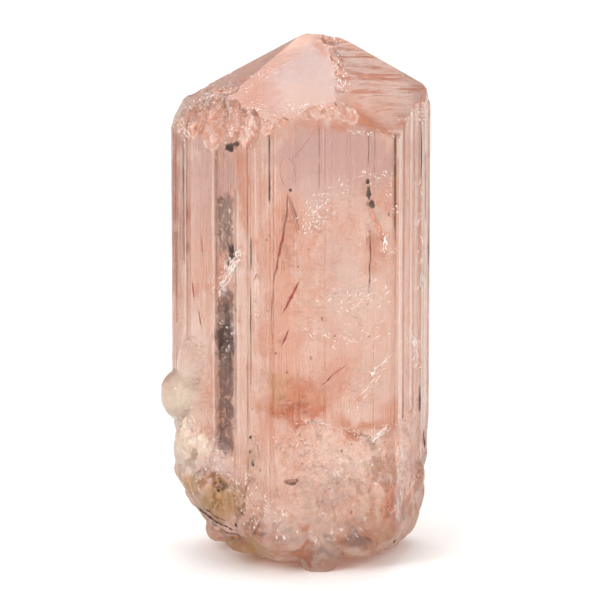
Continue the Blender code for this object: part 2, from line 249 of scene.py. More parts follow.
# Stains, as the front view shows them, each one over those before it: a colour, and then for each
# stain its strength, place across and up, half sizes and softness
STAINS = (
    (GREY_PINK, (0.8, 3.2, 38.6, 6.2, 4.2, 0.25), (0.7, -10.0, 36.8, 1.6, 6.0, 0.4),
     (0.8, -7.5, 37.0, 1.0, 3.6, 0.3), (0.6, 3.4, 29.3, 2.8, 1.6, 0.4), (0.6, 5.4, 26.2, 2.6, 1.4, 0.5),
     (0.55, 10.9, 10.5, 1.0, 5.0, 0.5)),
    (DEEP_ORANGE, (0.6, -5.7, 35.5, 0.8, 5.2, 0.4)),
    (PEACH, (0.75, -2.4, 24.0, 1.6, 11.0, 0.5), (0.45, -10.4, 29.5, 1.6, 3.0, 0.6),
     (0.6, 7.6, 27.5, 1.3, 3.6, 0.6), (0.6, -12.6, 35.0, 0.8, 8.0, 0.5)),
    (MILKY, (0.65, 5.6, 25.6, 3.2, 5.2, 0.5), (0.65, 6.6, 17.4, 2.6, 3.4, 0.5),
     (0.5, 2.6, 34.0, 3.4, 2.6, 0.6)),
    (DEEP_ORANGE, (0.7, -1.5, 31.4, 0.6, 4.2, 0.5), (0.6, 7.4, 30.6, 0.7, 2.6, 0.5)),
    (MILKY, (0.8, -10.8, 20.0, 1.6, 5.0, 0.5), (0.7, -5.7, 22.0, 0.7, 8.0, 0.3),
     (0.45, 3.4, 9.6, 3.4, 2.4, 0.6)),
    (SALMON, (0.6, 0.4, 9.0, 1.6, 2.4, 0.6), (0.7, 5.6, 2.4, 3.4, 1.6, 0.6)),
    (MILKY, (0.7, -2.4, 3.6, 2.6, 2.2, 0.6), (0.7, -8.6, 9.6, 1.8, 1.4, 0.5)),
    (PEACH, (0.6, -1.0, 20.0, 2.0, 6.0, 0.6), (0.6, -1.6, 31.0, 0.9, 4.6, 0.5)),
    (PALE_PINK, (0.75, 9.6, 20.0, 1.1, 8.0, 0.4), (0.6, 1.4, 17.0, 1.6, 2.6, 0.5),
     (0.55, -5.8, 20.0, 0.7, 6.0, 0.3), (0.6, -10.6, 21.0, 1.6, 4.0, 0.5),
     (0.6, 0.6, 6.5, 4.0, 2.6, 0.7), (0.6, 5.0, 9.0, 2.6, 1.6, 0.6), (0.6, -6.0, 8.4, 1.8, 1.6, 0.6),
     (0.6, -10.2, 10.0, 1.2, 1.8, 0.6)),
    (DEEP_ORANGE, (0.85, 7.2, 43.4, 3.4, 1.7, 0.4)),
    (ORANGE, (0.8, 2.5, 50.6, 1.1, 1.0, 0.4), (0.8, 4.0, 46.8, 0.9, 2.0, 0.4),
     (0.6, -8.4, 42.8, 3.6, 1.4, 0.5), (0.5, 1.5, 42.9, 4.0, 0.8, 0.6)),
    # The second strip, down the right edge, is painted shade
    (RUSSET, (0.9, -12.5, 34.0, 0.8, 9.0, 0.3), (0.55, 12.6, 24.0, 0.5, 18.0, 0.4)),
    (DEEP_ORANGE, (0.95, 0.0, 15.2, 3.8, 1.9, 0.7)),
    (RED_ORANGE, (0.95, -0.2, 14.4, 2.8, 0.8, 0.7)),
    (OCHRE, (0.5, -3.0, 17.2, 1.2, 1.0, 0.6)),
    (DEEP_ORANGE, (0.85, 5.8, 12.9, 2.6, 0.9, 0.7)),
    (ORANGE, (0.6, 8.6, 14.0, 1.2, 1.4, 0.7), (0.75, 9.3, 5.0, 1.1, 2.6, 0.5),
     (0.55, -9.0, 7.6, 1.6, 0.5, 0.7)),
    (DEEP_ORANGE, (0.8, -4.4, 2.2, 1.4, 0.9, 0.6), (0.9, 0.4, 0.6, 1.0, 1.4, 0.4)),
    (PALE_PINK, (0.8, 2.4, 0.8, 1.4, 1.2, 0.4)),
    (DEEP_ORANGE, (0.6, 6.0, 1.4, 2.4, 0.8, 0.6)),
    (ORANGE, (0.5, -6.6, -0.2, 2.4, 0.8, 0.6)),
    (MAUVE, (0.75, -7.6, 14.5, 0.9, 4.4, 0.4), (0.7, -7.7, 32.1, 0.6, 1.2, 0.5)),
    (BROWN, (0.9, -7.5, 22.6, 0.85, 3.6, 0.35), (0.85, -6.8, 29.9, 0.45, 0.8, 0.3)),
    (WHITE, (0.85, -6.5, 28.9, 0.6, 0.9, 0.3), (0.85, -7.5, 27.7, 0.6, 0.9, 0.3),
     (0.8, -8.2, 26.4, 0.4, 0.9, 0.3)),
    (MAUVE, (0.4, 3.6, 6.0, 2.2, 0.9, 0.3)),
    (CREAM, (1.0, -12.6, 15.6, 2.0, 3.4, 0.3), (0.95, -11.8, 10.8, 1.9, 3.0, 0.4),
     (0.8, -8.6, 5.0, 2.4, 1.6, 0.5), (0.8, -4.7, 10.6, 0.7, 1.2, 0.4),
     (0.75, -1.6, -0.6, 1.2, 0.7, 0.5)),
    (OCHRE, (0.95, -8.6, 4.8, 2.4, 1.4, 0.6), (0.75, -11.4, 6.6, 1.4, 1.6, 0.5)),
    (UMBER, (0.95, -9.4, 8.0, 1.4, 0.35, 0.5), (0.95, -6.3, 6.0, 0.4, 1.8, 0.5),
     (0.9, -10.8, 5.8, 1.4, 0.4, 0.5), (0.8, -4.6, 3.4, 0.35, 1.6, 0.5),
     (0.8, -11.8, 9.0, 0.8, 0.35, 0.5), (0.9, -7.2, 2.0, 2.4, 0.35, 0.5)),
    (RUSSET, (0.7, -4.9, 10.4, 0.9, 1.6, 0.6)),
    (DEEP_ORANGE, (0.9, -6.0, 0.8, 2.0, 0.9, 0.5)),
    (OCHRE, (0.85, -7.9, 6.6, 1.0, 1.2, 0.5), (0.95, -5.4, 0.4, 2.8, 1.0, 0.6),
     (0.75, -11.0, 7.4, 1.6, 1.0, 0.6)),
    (SOOT, (0.75, -9.3, 3.2, 1.5, 0.25, 0.6)),
    (BROWN, (0.7, -7.4, 1.9, 1.5, 0.25, 0.6)),
    (OCHRE, (0.55, 9.0, 1.6, 0.9, 0.6, 0.7)),
)
# The same for the top: the face that each one lies on, its colour, and the rest as above. The first pale
# patch over the front top face and the bright patch over the narrow left top face are painted light that
# makes those whole faces paler and brighter
TOP_STAINS_AND_PAINTED_LIGHT = (
    ("top_front", (0.76, 0.6, 0.58), 0.95, 0.6, 47.4, 6.0, 4.0, 0.5),
    ("top_front", PALE_PINK, 0.8, -0.5, 45.2, 3.6, 1.2, 0.6),
    ("top_front", ORANGE, 0.9, -5.4, 45.6, 2.8, 2.2, 0.7),
    ("top_left", PALE_PINK, 0.7, -9.0, 45.6, 3.0, 1.6, 0.8),
    ("top_left", (0.98, 0.62, 0.46), 0.95, -4.6, 48.6, 7.0, 3.4, 0.8),
    ("top_left", MILKY, 0.6, -7.0, 46.6, 1.6, 0.8, 0.8),
    ("top_front", ORANGE, 0.45, -2.6, 49.2, 2.4, 0.9, 0.6),
    ("top_front", ORANGE, 0.85, 2.4, 50.4, 1.0, 1.0, 0.4),
    ("top_right", ORANGE, 0.8, 4.2, 45.4, 1.0, 2.2, 0.5),
    ("top_left", ORANGE, 0.6, -6.0, 46.6, 4.0, 2.0, 0.8),
)
# Painted shade: dark straight lines up the faces, where the grooves look dark: place across, half width,
# the top and bottom as seen, strength
PAINTED_SHADE_LINES = (
    (-11.7, 0.14, 41.2, 29.0, 0.85), (-8.55, 0.09, 41.0, 8.0, 0.6), (-6.5, 0.09, 36.0, 12.0, 0.6),
    (-5.0, 0.12, 31.6, 28.4, 0.95), (-5.05, 0.1, 26.4, 17.0, 0.9), (-3.15, 0.14, 41.6, 37.8, 0.9),
    (-3.15, 0.14, 37.4, 35.0, 1.0), (-0.6, 0.04, 42.6, 36.0, 0.35), (1.7, 0.05, 42.2, 36.4, 0.7),
    (4.4, 0.04, 41.8, 37.4, 0.35), (6.5, 0.05, 42.0, 38.4, 0.65), (7.1, 0.05, 42.0, 37.6, 0.6),
    (9.15, 0.12, 41.6, 31.0, 1.0), (10.2, 0.06, 37.0, 33.0, 0.65), (10.9, 0.05, 41.0, 26.0, 0.45),
    (11.75, 0.05, 43.0, 34.0, 0.8), (12.2, 0.04, 44.0, 15.0, 0.7), (12.75, 0.04, 40.0, 8.0, 0.7),
)
# Painted highlights: pale straight edges that catch the light, given the same way
PAINTED_HIGHLIGHT_LINES = (
    (-11.55, 0.07, 40.0, 18.0, 0.6), (-8.75, 0.09, 41.0, 12.0, 0.75), (-6.3, 0.09, 36.0, 12.0, 0.65),
    (-5.3, 0.11, 40.0, 8.0, 0.9), (-4.55, 0.07, 40.0, 22.0, 0.7), (-2.9, 0.06, 41.0, 22.0, 0.5),
    (2.1, 0.05, 42.0, 38.0, 0.45), (9.6, 0.07, 42.0, 16.0, 0.75), (11.3, 0.08, 42.0, 12.0, 0.55),
    (12.05, 0.07, 43.0, 8.0, 0.6),
)
STAIN_WOBBLE = 1.5
STAIN_FADE = 1.5
# Stains further across than this go on over the edge, to this place behind the axis
RIM_START = 9.0
RIM_STAIN_END = 5.0
# Stains with no channel brighter than this, and the lines, stop at this place behind the axis
DARK_STAIN = 0.45
FRONT_END = 4.0
TOP_STAIN_DEPTH = 5.0
FACE_DEPTH = 0.9
# Heights over which the look changes: haze to clear, growth lines to none, and the foot's to the rest's
HAZE_FADE = (33.5, 41.0)
LINES_FADE = (45.0, 46.0)
FOOT_FADE = (2.0, 8.0)
FOOT_GLOSS_FADE = (1.0, 7.0)


def facing(degrees):
    """The level direction at this many degrees round the axis."""
    return Vector((math.cos(math.radians(degrees)), math.sin(math.radians(degrees))))


def slope(degrees, dip):
    """The outward direction of a face that leans back by its dip."""
    level = facing(degrees)
    lean = math.radians(dip)
    return Vector((level.x * math.sin(lean), level.y * math.sin(lean), math.cos(lean)))


def smooth_step(low, high, value):
    """0 below low, 1 above high, and a smooth rise between them."""
    share = min(1.0, max(0.0, (value - low) / (high - low)))
    return share * share * (3 - 2 * share)


def around(table, degrees):
    """The values at a direction, eased between the directions that the table gives."""
    closed = [*table, (table[0][0] + 360, *table[0][1:])]
    degrees = (degrees - closed[0][0]) % 360 + closed[0][0]
    for (start, *first), (end, *second) in zip(closed, closed[1:]):
        if degrees <= end:
            share = smooth_step(start, end, degrees)
            return [a + (b - a) * share for a, b in zip(first, second)]
    return closed[-1][1:]


# The crystal's shape


def face_plane(name):
    """The outward direction of a named face, and its distance from the foot's centre."""
    if name in PRISM_FACES:
        degrees, distance = PRISM_FACES[name]
        return Vector((*facing(degrees), 0.0)), distance
    degrees, dip, point = TOP_FACES[TOP_NAMES.index(name)]
    outward = slope(degrees, dip)
    return outward, outward.dot(Vector(point))


def seen_at(across, up, name=None):
    """The place on a face that shows at this point of the front view. Across is from the axis, and up
    is from the foot at right angles to the sight line."""
    outward, distance = face_plane(name or prism_face_at(across))
    y = distance - outward.x * across - outward.z * up / math.cos(TILT)
    y /= outward.y - outward.z * math.tan(TILT)
    return Vector((across, y, up / math.cos(TILT) - y * math.tan(TILT)))


def corner_between(first, second):
    """The point where two prism faces meet, seen from above."""
    (a, b), (c, d) = facing(first[0]), facing(second[0])
    scale = a * d - b * c
    return Vector(((first[1] * d - b * second[1]) / scale, (a * second[1] - first[1] * c) / scale))


def growth_steps(name, length, rng):
    """Pairs of distance along a face and depth below it, stepping from one level to the next."""
    grooves = GROOVES.get(name, ())
    steps = []
    for start, end, first_depth, last_depth in grooves:
        steps += [(start - STEP_RISER, 0.0), (start, first_depth)]
        steps += [(end, last_depth), (end + STEP_RISER, 0.0)]
    level = 0.0
    along = STEP_PITCH * rng.uniform(0.4, 0.9)
    while along < length - STEP_PITCH * 0.3:
        new_level = rng.uniform(0.0, STEP_DEPTH)
        if all(not start - GROOVE_MARGIN < along < end + GROOVE_MARGIN for start, end, _, _ in grooves):
            steps += [(along, level), (along + STEP_RISER, new_level)]
            level = new_level
        along += STEP_PITCH * rng.uniform(0.3, 1.8)
    return sorted([(0.0, 0.0), *steps])


def filled_in(steps, length):
    """The same steps, with more points wherever two lie far apart."""
    filled = []
    for (along, depth), (next_along, next_depth) in zip(steps, [*steps[1:], (length, 0.0)]):
        count = math.ceil((next_along - along) / WIDEST_GAP)
        for i in range(count):
            share = i / count
            filled.append((along + (next_along - along) * share, depth + (next_depth - depth) * share))
    return filled


def with_lines(steps, start, end, length):
    """The same steps, with points at both sides of each painted shade or highlight line that lies on the
    face.
    """
    ends = [*steps[1:], (length, 0.0)]
    added = []
    for across, half_width, *_ in [*PAINTED_SHADE_LINES, *PAINTED_HIGHLIGHT_LINES]:
        for side in (-1.5, -0.5, 0.5, 1.5):
            along = (across + side * half_width - start.x) / (end.x - start.x) * length
            for (first, depth), (last, last_depth) in zip(steps, ends):
                if first + LEAST_GAP < along < last - LEAST_GAP:
                    share = (along - first) / (last - first)
                    added.append((along, depth + (last_depth - depth) * share))
    return sorted([*steps, *added])


def outline_columns():
    """The prism's outline from above: each point's place, the way its face looks, and its depth."""
    rng = random.Random(STEP_SEED)
    faces = list(PRISM_FACES.items())
    corners = [corner_between(faces[i - 1][1], faces[i][1]) for i in range(len(faces))]
    columns = []
    for i, (name, (degrees, _)) in enumerate(faces):
        start, end = corners[i], corners[(i + 1) % len(corners)]
        length = (end - start).length
        steps = growth_steps(name, length, rng)
        if name in FRONT_FACES:
            steps = with_lines(steps, start, end, length)
        for along, depth in filled_in(steps, length):
            columns.append((start.lerp(end, along / length), facing(degrees), depth))
    return columns


def bumps(point, scale_and_height, seed):
    """Lumpy relief at a point in space, one noise for each scale."""
    shift = Vector((seed * 17.3, seed * 5.1, seed * 9.7))
    return sum(height * noise.noise(point / scale + shift) for scale, height in scale_and_height)


def grain(point):
    """Packed rounded grains with creases between them, and finer roughness over them."""
    nearest = noise.voronoi(point / GRAIN_CELL)[0][0]
    return GRAIN_HEIGHT * (0.45 - nearest) + bumps(point, GRAIN_BUMPS, 3)


def rough_share(top, height):
    """1 on the break, fading to 0 on the clean faces above it."""
    return 1 - smooth_step(FADE_START, 1.0, height / top)


def front_ledge(place, height):
    """1 where the front is broken back below its ragged line, and 0 elsewhere."""
    if place.y > 0 or not FRONT_LEDGE[0][0] < place.x < FRONT_LEDGE[-1][0]:
        return 0.0
    for (start, first), (end, last) in zip(FRONT_LEDGE, FRONT_LEDGE[1:]):
        if start <= place.x <= end:
            line = first + (last - first) * (place.x - start) / (end - start)
    line += FRONT_LEDGE_WANDER * noise.noise(Vector((place.x * 1.6, 0.0, 4.0)))
    upward, left, right = FRONT_LEDGE_FADES
    edge = smooth_step(*left, place.x - FRONT_LEDGE[0][0]) * smooth_step(*right, -place.y)
    return edge * (1 - smooth_step(*upward, height - line))


def surface_point(column, height):
    """A point of the crystal's side: the stepped prism above, and the curved, lumpy break below."""
    place, outward, depth = column
    if height > ROUGH_TOP:
        return Vector((*(place - outward * depth), height))
    degrees = math.degrees(math.atan2(place.y, place.x))
    top, draw_in, curve_top, roundness, foot = around(BREAK, degrees)
    broken = front_ledge(place, height)
    rough = max(rough_share(top, height), broken)
    reach = (place - outward * depth * (1 - rough)).length - FRONT_LEDGE_DEPTH * broken
    reach -= draw_in * (1 - smooth_step(curve_top, top, height))
    if height < curve_top:
        share = (1 - (1 - height / curve_top) ** roundness) ** (1 / roundness)
        reach = foot + (reach - foot) * share

    direction = place.normalized()
    at = Vector((direction.x * reach, direction.y * reach, height))
    reach += rough * bumps(at, ROUGH_BUMPS, 1)
    for lump_degrees, lump_height, lump_reach, half_width, half_height, half_depth in LUMPS:
        turn = (degrees - lump_degrees + 180) % 360 - 180
        across = math.radians(turn) * lump_reach / half_width
        inside = 1 - across**2 - ((height - lump_height) / half_height) ** 2
        if inside > 0:
            bulge = lump_reach + half_depth * (math.sqrt(inside) - 1)
            reach = max(reach, bulge + LUMP_BUMPS * bumps(at, ROUGH_BUMPS, 2))
    if rough > 0:
        reach += rough * grain(Vector((direction.x * reach, direction.y * reach, height)))
    return Vector((direction.x * reach, direction.y * reach, height))


def ring_heights():
    heights = []
    for (start, step), (end, _) in zip(RING_STEPS, [*RING_STEPS[1:], (PRISM_TOP, 0.0)]):
        count = max(1, round((end - start) / step))
        heights += [start + (end - start) * i / count for i in range(count)]
    return [*heights, PRISM_TOP]


def close_tube(bm, rings):
    """Joins rings of points with faces, and closes each end with one."""
    for lower, upper in zip(rings, rings[1:]):
        for i in range(len(lower)):
            j = (i + 1) % len(lower)
            bm.faces.new((lower[i], lower[j], upper[j], upper[i]))
    bm.faces.new(rings[0][::-1])
    bm.faces.new(rings[-1])


def prism_mesh():
    """The stepped prism with its broken foot, closed by a flat face at each end."""
    bm = bmesh.new()
    columns = outline_columns()
    rings = []
    for height in ring_heights():
        rings.append([bm.verts.new(surface_point(column, height)) for column in columns])
    close_tube(bm, rings)
    return bm


def cut_off(bm, point, outward):
    """Cuts away what lies beyond a plane, and closes the cut with one flat face."""
    parts = [*bm.verts, *bm.edges, *bm.faces]
    bmesh.ops.bisect_plane(bm, geom=parts, dist=1e-5, plane_co=point, plane_no=outward, clear_outer=True)
    bmesh.ops.contextual_create(bm, geom=[edge for edge in bm.edges if edge.is_boundary])


def add_object(name, data):
    """A new object in the scene, with this data."""
    obj = bpy.data.objects.new(name, data)
    bpy.context.scene.collection.objects.link(obj)
    return obj


def add_mesh(name, bm):
    mesh = bpy.data.meshes.new(name)
    bm.to_mesh(mesh)
    bm.free()
    return add_object(name, mesh)


def link_object(name, bm):
    """A named object from a mesh in millimetres about the prism's axis, with room for two materials."""
    bmesh.ops.transform(bm, matrix=Matrix.Scale(MM, 4) @ Matrix.Translation(AXIS_OFFSET), verts=bm.verts)
    obj = add_mesh(name, bm)
    obj.data.materials.append(None)
    obj.data.materials.append(None)
    return obj


def chip_cutter(number, place, degrees, climb, half_sizes, depth):
    """Dips into an edge: the large ones leave a rippled scoop, and the small ones flat fractures."""
    outward = slope(degrees, 90 - climb)
    across = Vector((-facing(degrees).y, facing(degrees).x, 0.0))
    along = across.cross(outward)
    centre = Vector(place) + outward * (half_sizes[1] - depth)
    large = number < len(CHIPS)
    bm = bmesh.new()
    bmesh.ops.create_icosphere(bm, subdivisions=4 if large else 2, radius=1.0)
    shift = Vector((number * 3.7, 0.0, 0.0))
    for vert in bm.verts:
        if large:
            ripple = noise.noise(vert.co * CHIP_RIPPLE + shift)
            ripple += 0.5 * (0.5 - noise.voronoi(vert.co * CHIP_RIPPLE + shift)[0][0])
            swell = 1 + CHIP_BUMP * ripple
        else:
            swell = 1 + NICK_JAG * noise.noise(vert.co * NICK_RIPPLE + shift)
        local = Vector(a * b for a, b in zip(vert.co * swell, half_sizes))
        vert.co = centre + across * local.x + outward * local.y + along * local.z
    cutter = link_object(f"chip_cutter_{number:03d}", bm)
    cutter.data.polygons.foreach_set("material_index", [1] * len(cutter.data.polygons))
    return cutter


def ledge_cutter(number, start):
    """A slab over the lower part of the right top face, each one dipping deeper than the last."""
    degrees, dip, peak = RIGHT_TOP_FACE
    outward = slope(degrees, dip)
    turn = LEDGE_TURN + 2.5 * math.sin(number * 2.1)
    down = Matrix.Rotation(math.radians(turn), 3, outward) @ slope(degrees, dip + 90)
    across = outward.cross(down)
    corner = Vector(peak) - outward * LEDGE_DEPTH * (number + 1) + down * start
    bm = bmesh.new()
    bmesh.ops.create_cube(bm, size=1.0)
    for vert in bm.verts:
        x, y, z = (a * b for a, b in zip(vert.co + Vector((0.5, 0.0, 0.5)), LEDGE_SLAB))
        vert.co = corner + down * x + across * y + outward * z
    return link_object(f"ledge_cutter_{number}", bm)


def top_height(x, y):
    """How high the unchipped top faces stand over a point seen from above."""
    heights = []
    for degrees, dip, point in TOP_FACES:
        out = facing(degrees)
        run = (x - point[0]) * out.x + (y - point[1]) * out.y
        heights.append(point[2] - run * math.tan(math.radians(dip)))
    return min(heights)


def nicks():
    """Small chips scattered round the shoulder, over the crumbled left top face and down the ridge."""
    rng = random.Random(NICK_SEED)
    columns = outline_columns()
    found = []
    count, least, most = SHOULDER_NICKS
    for _ in range(count):
        place, outward, _ = rng.choice(columns)
        size = rng.uniform(least, most)
        degrees = math.degrees(math.atan2(outward.y, outward.x)) + rng.uniform(-25, 25)
        at = (place.x, place.y, top_height(place.x, place.y))
        climb = rng.uniform(15, 50)
        found.append((at, degrees, climb, (size * rng.uniform(1, 2), size, size), size * 0.3))
    count, least, most = CRUMBLED_NICKS
    for _ in range(count):
        x, y = (rng.uniform(*span) for span in CRUMBLED_PART)
        size = rng.uniform(least, most)
        sizes = (size * 1.5, size, size)
        found.append(((x, y, top_height(x, y)), rng.uniform(-190, -120), 58, sizes, size * 0.25))
    count, least, most = RIDGE_NICKS
    for i in range(count):
        share = (i + rng.uniform(0.0, 0.8)) / count
        x, y = (start + run * share for start, run in zip(*RIDGE))
        x += rng.uniform(-0.3, 0.3)
        size = rng.uniform(least, most)
        found.append(((x, y, top_height(x, y)), -70, 55, (size, size, size * 1.3), size * 0.35))
    return found


def combine(first, others, operation):
    """Adds the other objects to the first or cuts them from it, and leaves the result as plain mesh."""
    for other in others:
        step = first.modifiers.new(other.name, "BOOLEAN")
        step.operation = operation
        step.solver = "MANIFOLD"
        step.object = other
    graph = bpy.context.evaluated_depsgraph_get()
    mesh = bpy.data.meshes.new_from_object(first.evaluated_get(graph))
    first.modifiers.clear()
    first.data = mesh
    for other in others:
        bpy.data.objects.remove(other)


def keep_in_box(crystal):
    """Presses the little that bulges past the solid's box back to it."""
    low, high = CAD_BOX
    for vert in crystal.data.vertices:
        vert.co = Vector(min(max(a, b), c) for a, b, c in zip(vert.co, low, high))


def stain_colours(points):
    """The colour that stains give each point, and how much of it they cover. The back has the front's
    stains turned half round, apart from the dark ones. Those at the rim go on over the edge instead."""
    pushes = np.array([noise.noise_vector(Vector(point) * 0.5) for point in points])
    pushes += 0.5 * np.array([noise.noise_vector(Vector(point) * 1.3) for point in points])
    pushes *= STAIN_WOBBLE

    def seen(side):
        up = points[:, 2] * math.cos(TILT) + points[:, 1] * side * math.sin(TILT)
        return points[:, 0] * side + pushes[:, 0], up + pushes[:, 2]

    turned = seen(np.where(points[:, 1] < 0, 1.0, -1.0))
    on_sides = (*turned, np.clip(np.abs(points[:, 1]) / STAIN_FADE, 0, 1))
    at_rim = (*seen(1.0), np.clip((RIM_STAIN_END - points[:, 1]) / STAIN_FADE, 0, 1))
    colours = np.tile(SALMON, (len(points), 1))
    cover = np.zeros((len(points), 1))
    for colour, *stains in STAINS:
        for strength, across, up, half_across, half_up, soft in stains:
            x, z, fade = at_rim if abs(across) > RIM_START else on_sides
            away = np.hypot((x - across) / half_across, (z - up) / half_up)
            share = np.clip((1 + soft - away) / (2 * soft), 0, 1)
            mask = strength * fade * share * share * (3 - 2 * share)
            if max(colour) < DARK_STAIN:
                mask *= points[:, 1] < FRONT_END
            mask = mask[:, None]
            colours += (np.array(colour) - colours) * mask
            cover = 1 - (1 - cover) * (1 - mask)
    return np.hstack([colours, cover])


def prism_face_at(across):
    """The name of the prism face that the front view shows at this place across."""
    return next((face for face, end in FACE_ENDS if across < end), FRONT_FACES[-1])


def line_marks(points, lines):
    """How strongly the straight lines mark each point."""
    marks = np.zeros(len(points))
    for across, half_width, top, bottom, strength in lines:
        outward, distance = face_plane(prism_face_at(across))
        sunk = distance - points @ np.array(outward)
        inside = np.abs(points[:, 0] + outward.x * sunk - across) < 0.6 * half_width
        inside &= (sunk < DEEPEST_GROOVE) & (points[:, 1] < FRONT_END)
        inside &= (points[:, 2] < seen_at(across, top).z) & (points[:, 2] > seen_at(across, bottom).z)
        marks[inside] = strength
    return marks


def mark_surface(crystal):
    """Stores what the material needs: chipped faces, the rough break, stains, and the painted shade and
    highlight lines.
    """
    faces = crystal.data.polygons
    worn = np.zeros(len(faces), np.int32)
    faces.foreach_get("material_index", worn)
    faces.foreach_set("material_index", [0] * len(faces))
    points = np.empty(len(crystal.data.vertices) * 3)
    crystal.data.vertices.foreach_get("co", points)
    points = points.reshape(-1, 3) / MM - np.array(AXIS_OFFSET)
    crust = []
    for x, y, z in points:
        rough = LEDGE_CRUST * front_ledge(Vector((x, y)), z)
        if z <= ROUGH_TOP:
            rough = max(rough, rough_share(around(BREAK, math.degrees(math.atan2(y, x)))[0], z))
        crust.append(rough)
    marks = (
        ("worn", "FACE", worn),
        ("crust", "POINT", crust),
        ("painted_shade_line", "POINT", line_marks(points, PAINTED_SHADE_LINES)),
        ("painted_highlight_line", "POINT", line_marks(points, PAINTED_HIGHLIGHT_LINES)),
    )
    for name, domain, values in marks:
        values = np.asarray(values, float)
        crystal.data.attributes.new(name, "FLOAT", domain).data.foreach_set("value", values)
    stains = crystal.data.attributes.new("stain", "FLOAT_COLOR", "POINT")
    stains.data.foreach_set("color", stain_colours(points).ravel())


def crystal_body():
    bm = prism_mesh()
    for degrees, dip, point in [*TOP_FACES, *SHOULDER_BREAKS]:
        cut_off(bm, Vector(point), slope(degrees, dip))
    bmesh.ops.triangulate(bm, faces=bm.faces)
    crystal = link_object("crystal_body", bm)
    ledges = [ledge_cutter(number, start) for number, start in enumerate(LEDGE_STARTS)]
    combine(crystal, ledges, "DIFFERENCE")
    first, *others = [chip_cutter(number, *chip) for number, chip in enumerate([*CHIPS, *nicks()])]
    combine(first, others, "UNION")
    combine(crystal, [first], "DIFFERENCE")
    keep_in_box(crystal)
    mark_surface(crystal)
    crystal.data.shade_smooth()
    crystal.data.set_sharp_from_angle(angle=math.radians(SHARP_ANGLE))
    return crystal


# Materials


class Graph:
    """The nodes of a material or a world, built from short calls."""

    def __init__(self, block, shader="Principled BSDF", output="Material Output"):
        block.use_nodes = True
        self.block = block
        self.tree = block.node_tree
        self.shader = self.tree.nodes[shader]
        self.output = self.tree.nodes[output]

    def set(self, socket, value):
        if isinstance(value, bpy.types.NodeSocket):
            self.tree.links.new(value, socket)
        elif isinstance(value, tuple) and len(value) == 3 and socket.type == "RGBA":
            socket.default_value = (*value, 1.0)
        elif isinstance(value, float) and socket.type == "VECTOR":
            socket.default_value = (value, value, value)
        else:
            socket.default_value = value

    def give(self, **inputs):
        """Sets inputs of the shader, named with _ for each space."""
        for name, value in inputs.items():
            self.set(self.shader.inputs[name.replace("_", " ")], value)

    def node(self, kind, inputs=(), **settings):
        """A new node, with its inputs set by name or by number."""
        node = self.tree.nodes.new("ShaderNode" + kind)
        for key, value in settings.items():
            setattr(node, key, value)
        for key, value in dict(inputs).items():
            self.set(node.inputs[key], value)
        return node

    def math(self, operation, first, second=0.0):
        return self.node("Math", {0: first, 1: second}, operation=operation).outputs[0]

    def times(self, first, *others):
        for other in others:
            first = self.math("MULTIPLY", first, other)
        return first

    def plus(self, first, *others):
        for other in others:
            first = self.math("ADD", first, other)
        return first

    def most(self, first, second):
        return self.math("MAXIMUM", first, second)

    def swing(self, value, size):
        """How far a noise lies from its middle, times this size."""
        return self.times(self.math("SUBTRACT", value, 0.5), size)

    def vector(self, operation, first, second=0.0):
        node = self.node("VectorMath", {0: first, 1: second}, operation=operation)
        return node.outputs["Value" if operation in ("LENGTH", "DOT_PRODUCT") else "Vector"]

    def place(self):
        """The point's place in millimetres about the prism's axis."""
        coordinates = self.node("TexCoord").outputs["Object"]
        return self.vector("SUBTRACT", self.vector("MULTIPLY", coordinates, 1 / MM), tuple(AXIS_OFFSET))

    def noise(self, place, scale, detail=4.0, roughness=0.55, distortion=0.0):
        inputs = {"Vector": self.vector("MULTIPLY", place, scale), "Scale": 1.0, "Detail": detail}
        inputs |= {"Roughness": roughness, "Distortion": distortion}
        return self.node("TexNoise", inputs).outputs["Fac"]

    def rise(self, value, low, high, start=0.0, end=1.0):
        """A smooth change from start to end as the value goes from low to high."""
        inputs = {"Value": value, "From Min": low, "From Max": high, "To Min": start, "To Max": end}
        return self.node("MapRange", inputs, interpolation_type="SMOOTHSTEP").outputs["Result"]

    def mix(self, share, first, second):
        return self.node("Mix", {"Factor": share, 6: first, 7: second}, data_type="RGBA").outputs[2]

    def over(self, colour, tint, *shares):
        """A tint laid over the colour, as strongly as the shares multiply to."""
        return self.mix(self.times(*shares), colour, tint)

    def blob(self, place, centre, half_sizes, soft):
        """1 in an ellipsoid, fading to 0 just outside it."""
        away = self.vector("DIVIDE", self.vector("SUBTRACT", place, centre), half_sizes)
        return self.rise(self.vector("LENGTH", away), 1 - soft, 1 + soft, 1.0, 0.0)

    def joined(self, x, y, z):
        return self.node("CombineXYZ", {0: x, 1: y, 2: z}).outputs[0]

    def split(self, place):
        return self.node("SeparateXYZ", {0: place}).outputs

    def attribute(self, name):
        return self.node("Attribute", attribute_name=name).outputs["Fac"]

    def geometry(self, name):
        return self.node("NewGeometry").outputs[name]


def new_graph(name):
    return Graph(bpy.data.materials.new(name))


def on_face(g, place, name):
    """1 on a top face, and 0 well inside it."""
    outward, distance = face_plane(name)
    reach = g.vector("DOT_PRODUCT", place, tuple(outward))
    return g.rise(reach, distance - FACE_DEPTH, distance - FACE_DEPTH * 0.6)


def hazy_part(g, place, mottle):
    """1 in the cracked lower part of the prism, and 0 in its clear top."""
    x, _, z = g.split(place)
    broad = g.swing(g.noise(place, 0.5, 2.0), 9.0)
    level = g.plus(g.math("SUBTRACT", z, g.times(x, 0.3)), broad)
    share = g.rise(level, *HAZE_FADE, 1.0, 0.0)
    return g.rise(g.plus(share, g.swing(mottle, 1.6)), 0.38, 0.62)


